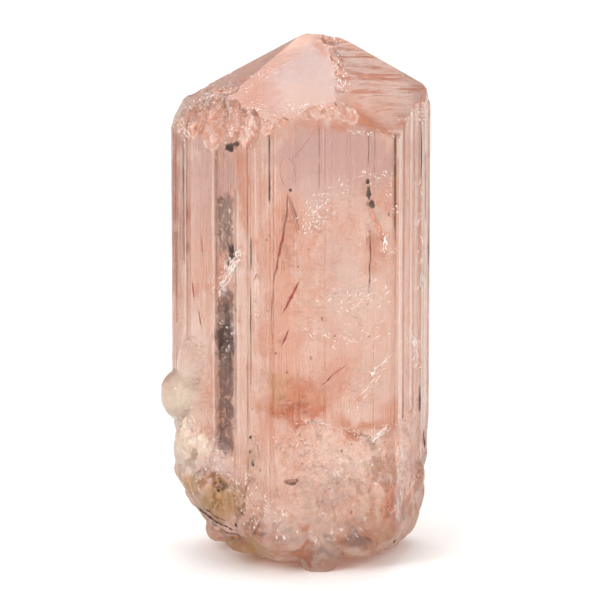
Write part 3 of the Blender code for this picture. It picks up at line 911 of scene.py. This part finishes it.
def body_colour(g, place, hazy, mottle, crumbs):
    clouds = g.noise(place, (0.25, 0.25, 0.15), 3.0, 0.62, 0.6)
    colour = g.mix(g.rise(clouds, 0.42, 0.58), SALMON, PALE_PINK)
    colour = g.over(colour, PEACH, g.rise(clouds, 0.32, 0.42, 0.55, 0.0))
    colour = g.over(colour, PALE_PINK, g.rise(mottle, 0.54, 0.62, 0.0, 0.75), hazy)
    colour = g.over(colour, PEACH, g.rise(mottle, 0.36, 0.46, 0.8, 0.0), hazy)
    crackled = g.times(hazy, g.rise(g.noise(place, 0.45, 2.0), 0.48, 0.58))
    colour = g.over(colour, MILKY, g.rise(crumbs, 0.59, 0.66, 0.0, 0.7), crackled)
    return g.over(colour, ORANGE, g.rise(crumbs, 0.34, 0.42, 0.6, 0.0), crackled)


def angular_patches(g, place):
    """A random colour for each angular patch, as overlapping cracks divide the crystal."""
    bend = g.times(g.noise(place, 0.8, 2.0), 1.2)
    bent = g.vector("ADD", place, g.joined(bend, bend, bend))
    cells = g.node("TexVoronoi", {"Vector": g.vector("MULTIPLY", bent, (0.8, 0.8, 0.5)), "Scale": 1.0})
    return cells.outputs["Color"]


def shattered(g, colour, patches, share):
    """Differing tints for the angular patches."""
    tint = g.split(patches)[0]
    colour = g.over(colour, PALE_PINK, g.rise(tint, 0.60, 0.95, 0.0, 0.85), share)
    return g.over(colour, PEACH, g.rise(tint, 0.05, 0.40, 0.65, 0.0), share)


def tipped(g, patches, share):
    """The surface's direction, tipped a little for each angular patch."""
    tip = g.vector("MULTIPLY", g.vector("SUBTRACT", patches, 0.5), g.joined(share, share, share))
    return g.vector("NORMALIZE", g.vector("ADD", g.geometry("Normal"), tip))


def veins(g, colour, mottle, crumbs, share):
    """Broken white lines, as along small cracks, over this share of the surface."""
    line = g.rise(g.math("ABSOLUTE", g.math("SUBTRACT", mottle, 0.5)), 0.006, 0.022, 1.0, 0.0)
    return g.over(colour, MILKY, line, g.rise(crumbs, 0.46, 0.54), share)


def striped(g, colour, lines, clean):
    """Fine light and dark growth lines, on the clean faces only."""
    colour = g.over(colour, PALE_PINK, g.rise(lines, 0.54, 0.60, 0.0, 0.55), clean)
    colour = g.over(colour, WHITE, g.rise(lines, 0.62, 0.67, 0.0, 0.75), clean)
    colour = g.over(colour, PEACH, g.rise(lines, 0.38, 0.44, 0.50, 0.0), clean)
    return g.over(colour, MAUVE, g.rise(lines, 0.31, 0.35, 0.70, 0.0), clean)


def top_bands(g, colour, place):
    """Orange and dark bands that follow the growth ledges of the right top face."""
    degrees, dip, _ = RIGHT_TOP_FACE
    outward = slope(degrees, dip)
    down = Matrix.Rotation(math.radians(LEDGE_TURN), 3, outward) @ slope(degrees, dip + 90)
    run = g.vector("DOT_PRODUCT", place, tuple(down * 1.5))
    level = g.vector("DOT_PRODUCT", place, tuple(outward.cross(down) * 0.13))
    bands = g.noise(g.joined(run, level, 0.0), 1.0, 4.0, 0.7, 0.5)
    face = on_face(g, place, "top_right")
    # A milky wash over the whole right top face, painted light that makes it paler
    colour = g.over(colour, MILKY, face, 0.6)
    colour = g.over(colour, ORANGE, g.rise(bands, 0.50, 0.58, 0.0, 0.85), face)
    return g.over(colour, DEEP_ORANGE, g.rise(bands, 0.60, 0.68, 0.0, 0.80), face)


def stained(g, colour, place, mottle):
    """The stains that the mesh carries, with ragged edges, and then the top faces' stains and painted
    light.
    """
    stain = g.node("Attribute", attribute_name="stain")
    cover = g.plus(stain.outputs["Alpha"], g.swing(mottle, 1.1))
    cover = g.times(g.rise(cover, 0.2, 0.8), g.rise(stain.outputs["Alpha"], 0.0, 0.25))
    colour = g.mix(cover, colour, stain.outputs["Color"])
    push = g.swing(mottle, 5.0)
    ragged = g.vector("ADD", place, g.joined(push, push, g.times(push, -1.0)))
    for name, tint, strength, across, up, half_across, half_up, soft in TOP_STAINS_AND_PAINTED_LIGHT:
        centre = tuple(seen_at(across, up, name))
        mask = g.blob(ragged, centre, (half_across, TOP_STAIN_DEPTH, half_up), soft)
        colour = g.over(colour, tint, mask, on_face(g, place, name), strength)
    return colour


def painted_shade_and_edge_highlight(g, colour, worn, broken):
    """Painted shade in the hollows and painted highlights on the edges where the crystal is chipped or
    broken.
    """
    bend = g.geometry("Pointiness")
    colour = g.over(colour, PAINTED_HOLLOW_SHADE, g.rise(bend, 0.42, 0.49, 0.35, 0.0), broken)
    return g.over(colour, WHITE, g.rise(bend, 0.51, 0.56), g.rise(worn, 0.0, 1.0, 0.15, 1.0), broken)


def morganite():
    g = new_graph("morganite")
    place = g.place()
    height = g.split(place)[2]
    worn, crust = g.attribute("worn"), g.attribute("crust")
    broken = g.most(worn, crust)
    clean = g.times(g.rise(crust, 0.1, 0.6, 1.0, 0.0), g.math("SUBTRACT", 1.0, worn))
    clean = g.times(clean, g.rise(height, *LINES_FADE, 1.0, 0.0))
    mottle = g.noise(place, (1.2, 1.2, 0.8), 4.0, 0.66, 0.4)
    crumbs = g.noise(place, (2.2, 2.2, 1.8), 2.0, 0.5)
    relief = g.noise(place, (1.1, 1.1, 0.8), 1.0, 0.4)
    lines = g.noise(place, (4.5, 4.5, 0.03), 3.0, 0.75)
    patches = angular_patches(g, place)
    hazy = hazy_part(g, place, mottle)
    above_foot = g.rise(height, *FOOT_FADE, 0.15, 1.0)

    colour = body_colour(g, place, hazy, mottle, crumbs)
    colour = striped(g, colour, lines, g.times(clean, g.rise(hazy, 0.0, 1.0, 1.0, 0.45)))
    colour = shattered(g, colour, patches, g.times(g.most(broken, g.times(hazy, 0.6)), above_foot))
    colour = stained(g, colour, place, mottle)
    colour = top_bands(g, colour, place)
    breaks = g.rise(mottle, 0.36, 0.42)
    # Painted highlights along the pale straight edges
    colour = g.over(colour, WHITE, g.attribute("painted_highlight_line"), breaks)
    # Painted shade along the dark straight lines of the faces
    colour = g.over(colour, BROWN, g.attribute("painted_shade_line"), breaks)
    colour = g.over(colour, g.mix(g.rise(crumbs, 0.46, 0.56), FRACTURE, PALE_PINK), worn, 0.75)
    colour = veins(g, colour, mottle, crumbs, g.rise(g.most(broken, hazy), 0.0, 1.0, 0.0, 0.4))
    # Painted shade in hollows and painted highlights on chipped edges
    colour = painted_shade_and_edge_highlight(g, colour, worn, broken)

    rough = g.most(g.times(crust, 0.26), g.times(worn, 0.14))
    rough = g.plus(rough, g.rise(crumbs, 0.3, 0.7, 0.03, 0.12))
    rough = g.plus(rough, g.rise(height, *FOOT_GLOSS_FADE, 0.25, 0.0))
    raised = g.plus(g.times(lines, clean, 0.6), g.times(mottle, 0.25))
    raised = g.plus(raised, g.times(relief, g.times(broken, 1.2)))
    tip = g.times(g.plus(g.times(broken, 0.45), g.times(hazy, 0.10)), above_foot)
    inputs = {"Strength": 0.8, "Distance": 0.0005, "Height": raised, "Normal": tipped(g, patches, tip)}
    g.give(Base_Color=colour, Roughness=rough, Normal=g.node("Bump", inputs).outputs["Normal"])

    g.shader.inputs["Transmission Weight"].default_value = TRANSMISSION
    g.shader.inputs["IOR"].default_value = IOR
    absorption = g.node("VolumeAbsorption")
    absorption.inputs["Color"].default_value = (*ABSORPTION, 1.0)
    absorption.inputs["Density"].default_value = DENSITY
    g.set(g.output.inputs["Volume"], absorption.outputs["Volume"])
    return g.block


def inclusion(name, first, second, roughness, scale):
    """A dull, mottled material for what lies inside the crystal."""
    g = new_graph(name)
    mottle = g.noise(g.place(), scale, 4.0, 0.6)
    colour = g.mix(g.rise(mottle, 0.35, 0.65), first, second)
    g.give(Base_Color=colour, Roughness=g.rise(mottle, 0.3, 0.7, roughness, roughness + 0.2))
    return g.block


def veil_material(name, first, second, cover, scale, low, high):
    """A broken, partly see-through film, such as a healed crack."""
    g = new_graph(name)
    patches = g.noise(g.place(), scale, 4.0, 0.7, 0.8)
    ragged = g.math("SUBTRACT", patches, g.rise(g.attribute("inner"), 0.0, 1.0, 0.35, 0.0))
    g.give(
        Base_Color=g.mix(g.rise(patches, 0.5, 0.7), first, second),
        Roughness=g.rise(patches, 0.4, 0.7, 0.5, 0.2),
        Alpha=g.rise(ragged, low, high, 0.0, cover),
    )
    return g.block


# What lies inside


def under_surface(crystal, across, up, depth):
    """The place this far behind the surface that shows at a point of the front view."""
    start = (Vector((across, 0.0, up / math.cos(TILT))) - SIGHT * SIGHT_START + AXIS_OFFSET) * MM
    hit, place, _, _ = crystal.ray_cast(start, SIGHT)
    if not hit:
        return None
    return place / MM - AXIS_OFFSET + Vector((0.0, depth, 0.0))


def threads(name, paths, material, crystal):
    """Thin needles or lines: each path is a width, a depth, and points of the front view."""
    rng = random.Random(len(paths))
    bm = bmesh.new()
    for width, depth, points in paths:
        if any(under_surface(crystal, *point, depth) is None for point in points):
            continue
        spine = []
        for (a, b), (c, d) in zip(points, points[1:]):
            for i in range(THREAD_STEPS):
                share = i / THREAD_STEPS
                at = under_surface(crystal, a + (c - a) * share, b + (d - b) * share, depth)
                spine.append(at + Vector((rng.uniform(-1, 1), 0, rng.uniform(-1, 1))) * width * 0.2)
        spine.append(under_surface(crystal, *points[-1], depth))
        rings = []
        for i, at in enumerate(spine):
            taper = math.sin(math.pi * (0.12 + 0.82 * i / (len(spine) - 1)))
            radius = width / 2 * taper * rng.uniform(0.6, 1.3)
            turns = [math.tau * k / THREAD_SIDES for k in range(THREAD_SIDES)]
            sides = [Vector((math.cos(turn), math.sin(turn), 0.0)) for turn in turns]
            rings.append([bm.verts.new(at + side * radius) for side in sides])
        close_tube(bm, rings)
    bmesh.ops.recalc_face_normals(bm, faces=bm.faces)
    return finish_piece(link_object(name, bm), material)


def specks(name, spots, material, crystal):
    """Small ragged grains: each spot is the front view's place, half width, half height and depth."""
    bm = bmesh.new()
    for number, (across, up, half_width, half_height, depth) in enumerate(spots):
        small = max(half_width, half_height) < SMALL_SPECK
        made = bmesh.ops.create_icosphere(bm, subdivisions=1 if small else 3, radius=1.0)
        centre = under_surface(crystal, across, up, depth)
        half_sizes = (half_width, min(SPECK_THICKNESS, half_width), half_height)
        for vert in made["verts"]:
            swell = 1 + 0.9 * noise.noise(vert.co * 1.8 + Vector((number * 4.1, 0, 0)))
            vert.co = centre + Vector(a * b for a, b in zip(vert.co * swell, half_sizes))
    return finish_piece(link_object(name, bm), material)


def sheet(name, patches, material, crystal):
    """Thin crumpled films: each is a front-view box, a depth, a lean across and up, and its ripple."""
    bm = bmesh.new()
    inner = bm.verts.layers.float.new("inner")
    for number, (left, right, bottom, top, depth, lean_across, lean_up, ripple) in enumerate(patches):
        width, height = right - left, top - bottom
        columns, rows = (max(3, round(size / SHEET_CELL)) for size in (width, height))
        grid = []
        for i in range(columns + 1):
            line = []
            for j in range(rows + 1):
                a, b = i / columns, j / rows
                at = Vector((a * width, b * height, number * 5.0))
                wave = ripple * noise.noise(at * 0.6) + 0.4 * ripple * noise.noise(at * 2.0)
                deep = depth + lean_across * (a - 0.5) + lean_up * (b - 0.5) + wave
                edge = 0.5 + 0.5 * noise.noise(at * 0.9 + Vector((9, 0, 0)))
                squeeze = 1 - 0.35 * edge * abs(2 * b - 1) ** 2
                across = (left + right) / 2 + (a - 0.5) * width * squeeze
                place = under_surface(crystal, across, bottom + b * height, max(SHEET_LEAST_DEPTH, deep))
                vert = bm.verts.new(place)
                vert[inner] = min(1.0, 4 * min(a, 1 - a)) * min(1.0, 4 * min(b, 1 - b))
                line.append(vert)
            grid.append(line)
        for i in range(columns):
            for j in range(rows):
                bm.faces.new((grid[i][j], grid[i + 1][j], grid[i + 1][j + 1], grid[i][j + 1]))
    return finish_piece(link_object(name, bm), material)


def finish_piece(obj, material):
    obj.data.materials.clear()
    obj.data.materials.append(material)
    obj.data.shade_smooth()
    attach(obj, "root")
    return obj


THREAD_STEPS = 6
THREAD_SIDES = 6
SMALL_SPECK = 0.35
SPECK_THICKNESS = 0.3
SHEET_CELL = 0.3
SHEET_LEAST_DEPTH = 0.25

# Needles, lines and threads: width, depth behind the surface, and the path in the front view
NEEDLES = (
    (0.26, 0.1, ((-1.4, 35.6), (-1.5, 33.6), (-2.0, 31.0), (-2.5, 28.6), (-2.8, 26.9))),
    (0.38, 0.06, ((-0.4, 27.1), (-1.1, 25.6), (-1.9, 24.0))), (0.22, 0.06, ((-1.3, 22.4), (-2.0, 20.8))),
    (0.16, 0.1, ((-1.2, 35.4), (-0.6, 33.6), (-0.2, 31.8))),
    (0.22, 0.06, ((2.0, 17.0), (3.2, 18.1), (4.4, 19.0))),
    (0.2, 0.1, ((6.6, 32.3), (6.7, 29.5), (6.5, 26.0))), (0.16, 0.06, ((-9.9, 31.6), (-9.8, 29.6))),
    (0.16, 0.06, ((-10.9, 27.2), (-10.6, 25.2))), (0.14, 0.06, ((-10.3, 24.6), (-9.9, 22.4))),
    (0.13, 0.06, ((-4.8, 27.0), (-4.4, 27.9), (-4.0, 27.0))),
    (0.12, 0.06, ((-3.0, 21.4), (-2.2, 21.2), (-1.6, 21.8))),
    (0.11, 0.06, ((2.6, 28.7), (3.4, 29.0), (4.0, 29.3))), (0.12, 0.06, ((4.8, 23.8), (5.6, 23.4))),
)
# Dark threads: the first three follow a dark seam near the foot, and most of the rest are painted shade
# laid along the dark straight lines of the faces
DARK_SEAMS_AND_SHADE_LINES = (
    (0.44, 0.03, ((-10.8, 4.8), (-9.6, 3.9), (-8.4, 3.2), (-7.2, 2.6), (-6.0, 2.2))),
    (0.26, 0.03, ((-9.8, 4.6), (-8.6, 3.8), (-7.0, 3.1))),
    (0.24, 0.03, ((-8.8, 3.0), (-7.4, 2.2), (-5.8, 1.8))), (0.11, 0.03, ((-3.15, 37.5), (-3.15, 35.1))),
    (0.09, 0.03, ((-3.15, 41.4), (-3.15, 39.4))), (0.07, 0.03, ((6.5, 41.6), (6.5, 38.6))),
    (0.1, 0.03, ((9.1, 41.4), (9.1, 37.2))), (0.08, 0.03, ((9.1, 36.4), (9.1, 33.2))),
    (0.12, 0.03, ((-5.0, 31.4), (-5.0, 28.4))), (0.1, 0.03, ((-5.05, 26.4), (-5.05, 21.0))),
    (0.07, 0.03, ((-11.75, 40.8), (-11.75, 35.0))), (0.12, 0.03, ((11.9, 42.0), (11.9, 37.4))),
    (0.09, 0.03, ((12.4, 40.0), (12.4, 33.0))), (0.07, 0.03, ((12.75, 36.0), (12.75, 24.0))),
    (0.08, 0.03, ((6.6, 29.0), (6.7, 25.6))), (0.1, 0.03, ((-5.3, 11.9), (-4.4, 11.0), (-4.2, 9.8))),
    (0.1, 0.03, ((-5.2, 9.6), (-4.5, 8.6))),
)
FAINT_THREADS = (
    (0.34, 0.1, ((6.3, 34.9), (6.9, 33.6), (7.7, 32.0), (8.0, 30.6))),
    (0.09, 0.15, ((-2.2, 38.0), (-2.0, 38.9), (-1.4, 39.2), (-0.8, 38.6), (-0.7, 37.4), (-1.2, 36.2))),
    (0.09, 0.15, ((-2.2, 38.0), (-2.0, 36.8), (-1.4, 36.2))),
    (0.1, 0.15, ((1.6, 42.3), (-0.3, 39.7), (-1.1, 38.9))),
    (0.14, 0.15, ((-1.4, 35.6), (-0.9, 33.8), (-0.4, 31.4))),
    (0.1, 0.15, ((-2.8, 26.9), (-3.0, 24.0), (-2.9, 21.0))),
)
# Grains: place across and up, half width, half height and depth
DARK_SPOTS = (
    (-6.9, 40.3, 0.5, 0.34, 0.04), (-6.4, 40.6, 0.3, 0.22, 0.04), (6.4, 36.9, 0.2, 0.28, 0.06),
    (6.5, 35.8, 0.2, 0.55, 0.06), (6.8, 34.7, 0.24, 0.45, 0.06), (-6.8, 30.1, 0.34, 0.6, 0.04),
    (-7.2, 29.0, 0.16, 0.3, 0.04), (-1.1, 36.0, 0.22, 0.16, 0.12), (11.8, 15.3, 0.14, 1.2, 0.15),
    (12.3, 11.2, 0.14, 1.3, 0.15), (-8.3, 6.4, 0.22, 0.26, 0.15), (-6.5, 3.0, 0.24, 0.26, 0.15),
    (-5.0, 11.8, 0.2, 0.26, 0.15), (-5.1, 10.4, 0.12, 0.3, 0.15), (-4.8, 9.2, 0.14, 0.36, 0.15),
    (9.2, 1.3, 0.14, 0.22, 0.15),
)
BROWN_SPOTS = ((-1.0, 7.4, 0.75, 0.24, 0.15), (-7.9, 6.9, 0.6, 0.4, 0.2), (3.9, 10.4, 0.12, 0.2, 0.15))
# Scattered flecks: how many, their range across and up, and their half widths
SCATTERED_FLECKS = 90
FLECK_AREA = ((-11.5, 9.3), (2.0, 34.5))
FLECK_SIZES = (0.035, 0.10)
FLECK_SEED = 31
# White crack edges and painted glints, each a run of short white splinters: how far they stray, how
# many, how long, the path
CRACKS_AND_PAINTED_GLINTS = (
    (0.14, 34, 0.4, ((-0.2, 13.3), (0.6, 13.5), (1.6, 13.2), (2.9, 12.9))),
    (0.16, 30, 0.4, ((3.9, 12.8), (4.8, 12.7), (5.4, 12.2), (6.6, 11.0))),
    (0.24, 46, 0.6, ((7.0, 11.4), (7.6, 12.0), (8.4, 12.6))),
    (0.14, 18, 0.5, ((9.3, 13.2), (10.2, 13.0), (11.0, 13.3))),
    (0.05, 5, 1.2, ((4.3, 13.9), (6.3, 16.6), (8.3, 19.3))),
    (0.05, 4, 1.2, ((5.3, 14.6), (7.0, 17.0), (8.9, 19.6))),
    (0.04, 14, 1.2, ((11.75, 38.0), (11.85, 26.0))),
    (0.1, 14, 0.8, ((6.6, 17.7), (7.4, 18.7), (8.2, 19.5))), (0.12, 22, 0.4, ((8.0, 32.0), (8.2, 30.6))),
    (0.1, 14, 0.3, ((7.6, 30.2), (8.4, 29.8), (9.0, 30.1))),
    (0.6, 56, 0.4, ((0.2, 31.8), (1.2, 33.6), (2.6, 34.9))),
    (0.3, 40, 0.5, ((-0.2, 34.6), (3.0, 36.0), (6.0, 37.6), (8.8, 37.4))),
    (0.3, 16, 0.4, ((7.0, 37.6), (9.0, 35.2), (9.2, 33.6))),
    (0.2, 22, 0.9, ((10.9, 22.2), (11.4, 20.6), (11.6, 18.6))),
    (0.28, 60, 0.8, ((-6.1, 30.0), (-7.0, 28.6), (-8.2, 26.2))),
    (0.4, 12, 0.6, ((-8.4, 24.0), (-6.8, 21.5), (-8.2, 19.5))),
    (0.6, 40, 0.7, ((2.0, 26.0), (5.0, 25.0), (8.0, 26.5))),
    (0.7, 40, 0.7, ((1.0, 22.5), (4.0, 21.5), (8.4, 22.5))),
    (0.3, 26, 0.5, ((1.6, 6.6), (3.2, 6.9), (5.2, 7.2), (6.6, 7.4))),
    (0.8, 60, 0.5, ((-11.5, 13.0), (-9.6, 10.5), (-8.0, 9.4))),
    (0.6, 40, 0.5, ((-11.4, 9.0), (-10.4, 7.0), (-8.6, 8.6))),
    (0.7, 50, 0.5, ((-6.4, 8.0), (-5.4, 5.4), (-4.8, 3.0))),
    (0.6, 46, 0.5, ((-3.8, 6.6), (-2.6, 4.0), (-1.8, 1.6))),
    (0.7, 46, 0.6, ((-2.4, 12.4), (0.4, 10.6), (3.0, 11.4))),
    (0.8, 50, 0.6, ((1.8, 9.8), (4.4, 8.6), (6.6, 9.8))),
    (0.6, 50, 0.5, ((2.4, 3.2), (4.8, 2.4), (7.4, 3.0))),
    (0.3, 26, 0.6, ((0.8, 2.2), (2.0, 1.2), (3.6, 2.6))),
    (0.2, 22, 0.9, ((9.6, 11.0), (9.9, 7.0), (9.4, 3.4))),
    (0.3, 26, 0.4, ((-11.9, 42.8), (-11.2, 41.6))),
    (0.5, 60, 0.4, ((-11.0, 44.0), (-9.4, 45.2), (-7.6, 46.2))),
    (0.4, 40, 0.4, ((-8.6, 43.8), (-6.0, 43.8), (-3.6, 44.2))),
    (0.4, 30, 0.4, ((-7.2, 41.0), (-5.4, 42.2), (-3.4, 42.6))),
    (0.3, 40, 0.4, ((-2.4, 43.6), (0.6, 44.2), (4.0, 43.6))),
    (0.35, 16, 0.4, ((3.4, 49.6), (3.9, 47.6), (4.0, 45.6))),
    (0.5, 40, 0.35, ((-8.4, 45.4), (-5.4, 46.6), (-3.0, 47.8))),
    (0.16, 30, 0.7, ((4.2, 41.9), (6.6, 41.5), (9.2, 41.6))),
    (0.3, 30, 0.4, ((10.0, 43.0), (11.6, 44.0), (12.4, 43.2))),
)
SPLINTER_SEED = 12
SPLINTER_SHARE = 1.5
SPLINTER_WIDTHS = (0.03, 0.11)
# Films: left, right, bottom and top in the front view, depth, lean across and up, and ripple
SMOKY_SHEETS = (
    (-8.8, -6.2, 15.4, 28.6, 0.25, 0.1, 0.1, 0.15), (-8.7, -6.3, 7.6, 21.8, 0.5, 0.1, 0.1, 0.15),
    (-8.7, -6.3, 28.6, 37.0, 0.4, 0.1, 0.1, 0.15),
)
WHITE_SHEETS = (
    (-8.5, -5.6, 25.4, 30.6, 0.5, 0.2, 0.2, 0.2), (-0.4, 3.4, 30.5, 36.2, 1.0, 0.4, 0.8, 0.5),
    (0.0, 9.0, 32.0, 37.2, 1.3, 0.8, 1.0, 0.5), (3.8, 8.8, 13.4, 20.2, 0.9, 0.6, 0.8, 0.4),
    (-2.5, 9.0, 2.4, 12.6, 1.1, 0.6, 0.8, 0.6), (-11.6, -8.8, 12.0, 24.0, 0.8, 0.3, 0.5, 0.4),
    (-2.8, 9.2, 19.0, 31.0, 1.6, 0.8, 0.9, 0.7),
)
ORANGE_SHEETS = (
    (-3.4, 1.6, 13.4, 16.4, 0.7, 0.3, 0.4, 0.3), (5.8, 8.2, 30.0, 34.8, 0.7, 0.3, 0.5, 0.3),
    (-2.6, -0.4, 26.0, 36.0, 0.9, 0.4, 0.5, 0.3), (7.6, 10.4, 1.4, 6.4, 0.6, 0.3, 0.3, 0.2),
)
# Each piece of films, and its material: name, two colours, greatest cover, scale of its patches, and
# between what levels of them it goes from bare to covered
VEILS = (
    ("smoky_veil", SMOKY_SHEETS, "smoky_film", SMOKE, PALE_SMOKE, 0.95, 1.8, 0.34, 0.50),
    ("white_veils", WHITE_SHEETS, "healed_crack", PURE_WHITE, MILKY, 0.6, 2.4, 0.50, 0.60),
    ("orange_veils", ORANGE_SHEETS, "iron_stain", RED_ORANGE, DEEP_ORANGE, 0.5, 2.2, 0.46, 0.60),
)


def crack_and_glint_splinters():
    """The white crack edges and painted glints as short thin needles along their paths."""
    rng = random.Random(SPLINTER_SEED)
    splinters = []
    for spread, count, longest, path in CRACKS_AND_PAINTED_GLINTS:
        for _ in range(round(count * SPLINTER_SHARE)):
            i = rng.randrange(len(path) - 1)
            start, end = Vector(path[i]), Vector(path[i + 1])
            at = start.lerp(end, rng.random()) + Vector((rng.gauss(0, spread), rng.gauss(0, spread)))
            run = (end - start).normalized() + Vector((rng.gauss(0, 0.4), rng.gauss(0, 0.4)))
            run = run.normalized() * longest * rng.uniform(0.15, 0.9)
            width = rng.uniform(*SPLINTER_WIDTHS)
            splinters.append((width, rng.uniform(-0.3, 0.4) * width, (tuple(at), tuple(at + run))))
    return splinters


def scattered_flecks():
    """Tiny brown grains, scattered over the cracked middle of the front and left faces."""
    rng = random.Random(FLECK_SEED)
    spots = []
    for _ in range(SCATTERED_FLECKS):
        across, up = (rng.uniform(*span) for span in FLECK_AREA)
        size = rng.uniform(*FLECK_SIZES)
        spots.append((across, up, size, size * rng.uniform(0.7, 2.6), rng.uniform(0.12, 0.25)))
    return spots


def inside_pieces(crystal):
    rust = inclusion("rust_needle", RUST, DARK_RUST, roughness=0.35, scale=2.5)
    white = inclusion("crack_and_glint_white", WHITE, PURE_WHITE, roughness=0.2, scale=2.0)
    soot = inclusion("dark_grain", SOOT, BROWN, roughness=0.4, scale=2.0)
    orange = inclusion("orange_thread", ORANGE, PEACH, roughness=0.4, scale=2.0)
    brown = inclusion("brown_grain", RUSSET, BROWN, roughness=0.5, scale=3.0)
    # White crack edges, partly painted glints
    threads("white_cracks_and_painted_glints", crack_and_glint_splinters(), white, crystal)
    threads("rust_needles", NEEDLES, rust, crystal)
    # A dark seam near the foot, and dark threads as painted shade along the faces' dark lines
    threads("dark_seams_and_shade_lines", DARK_SEAMS_AND_SHADE_LINES, soot, crystal)
    threads("faint_threads", FAINT_THREADS, orange, crystal)
    specks("dark_grains", DARK_SPOTS, soot, crystal)
    specks("brown_grains", [*BROWN_SPOTS, *scattered_flecks()], brown, crystal)
    for name, sheets, *look in VEILS:
        sheet(name, sheets, veil_material(*look), crystal)


# Studio

LIGHT_TARGET = (0.0, 0.0, 0.026)
# Soft lights: place, size and power
LIGHTS = (
    ("key_softbox", (-0.28, -0.40, 0.42), 0.35, 1.5),
    ("fill_softbox", (0.45, -0.25, 0.25), 0.40, 0.5),
    ("top_softbox", (0.0, 0.15, 0.55), 0.50, 1.15),
    ("left_glint", (-0.30, -0.30, 0.20), 0.03, 0.25),
    ("right_glint", (0.20, -0.40, 0.35), 0.03, 0.25),
)
# What the crystal gathers from round about: where on the slope from side to top, and its colour
WORLD_STOPS = ((0.30, (0.45, 0.43, 0.42)), (0.85, (1.0, 0.99, 0.98)))
WORLD_STRENGTH = 0.95
FLOOR_RADIUS = 3.0
FLOOR_PAPER = (0.93, 0.925, 0.92)


def look_at(obj, place, target):
    obj.location = place
    obj.rotation_euler = (Vector(place) - Vector(target)).to_track_quat("Z", "Y").to_euler()


def soft_light(name, place, size, power):
    light = bpy.data.lights.new(name, "AREA")
    light.shape = "DISK"
    light.size = size
    light.energy = power
    look_at(add_object(name, light), place, LIGHT_TARGET)


def studio_floor():
    bm = bmesh.new()
    bmesh.ops.create_circle(bm, cap_ends=True, segments=96, radius=FLOOR_RADIUS)
    floor = add_mesh("studio_floor", bm)
    g = new_graph("floor_paper")
    g.give(Base_Color=FLOOR_PAPER, Roughness=0.9, Specular_IOR_Level=0.1)
    floor.data.materials.append(g.block)


def studio_world():
    """White where the camera looks past the floor, and softly uneven for what the crystal gathers."""
    g = Graph(bpy.data.worlds.new("studio"), "Background", "World Output")
    g.give(Color=(1.0, 1.0, 1.0), Strength=1.0)
    x, _, z = g.split(g.node("TexCoord").outputs["Generated"])
    level = g.plus(g.times(g.math("ABSOLUTE", x), -0.32), g.plus(g.times(z, 0.5), 0.5))
    ramp = g.node("ValToRGB", {0: level})
    for stop, (position, colour) in zip(ramp.color_ramp.elements, WORLD_STOPS):
        stop.position = position
        stop.color = (*colour, 1.0)
    soft = g.node("Background", {"Color": ramp.outputs["Color"], "Strength": WORLD_STRENGTH})
    seen = g.node("LightPath").outputs["Is Camera Ray"]
    choose = g.node("MixShader", {0: seen, 1: soft.outputs[0], 2: g.shader.outputs[0]})
    g.set(g.output.inputs["Surface"], choose.outputs[0])
    bpy.context.scene.world = g.block


def studio_camera():
    """A long lens level with the photograph's: 10 picture points to a millimetre at the axis."""
    target = Vector((AXIS_OFFSET.x + VIEW_ACROSS, AXIS_OFFSET.y, VIEW_UP / math.cos(TILT))) * MM
    data = bpy.data.cameras.new("camera")
    data.sensor_width = SENSOR_WIDTH
    data.lens = SENSOR_WIDTH * CAMERA_DISTANCE / VIEW_WIDTH
    data.clip_start = 0.01
    camera = add_object("camera", data)
    look_at(camera, target - SIGHT * CAMERA_DISTANCE, target)
    bpy.context.scene.camera = camera


def studio():
    studio_floor()
    studio_world()
    for light in LIGHTS:
        soft_light(*light)
    studio_camera()
    bpy.context.scene.view_settings.view_transform = "Standard"


def main():
    body = crystal_body()
    finish_piece(body, morganite())
    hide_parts("morganite_crystal")
    inside_pieces(body)
    studio()


main()
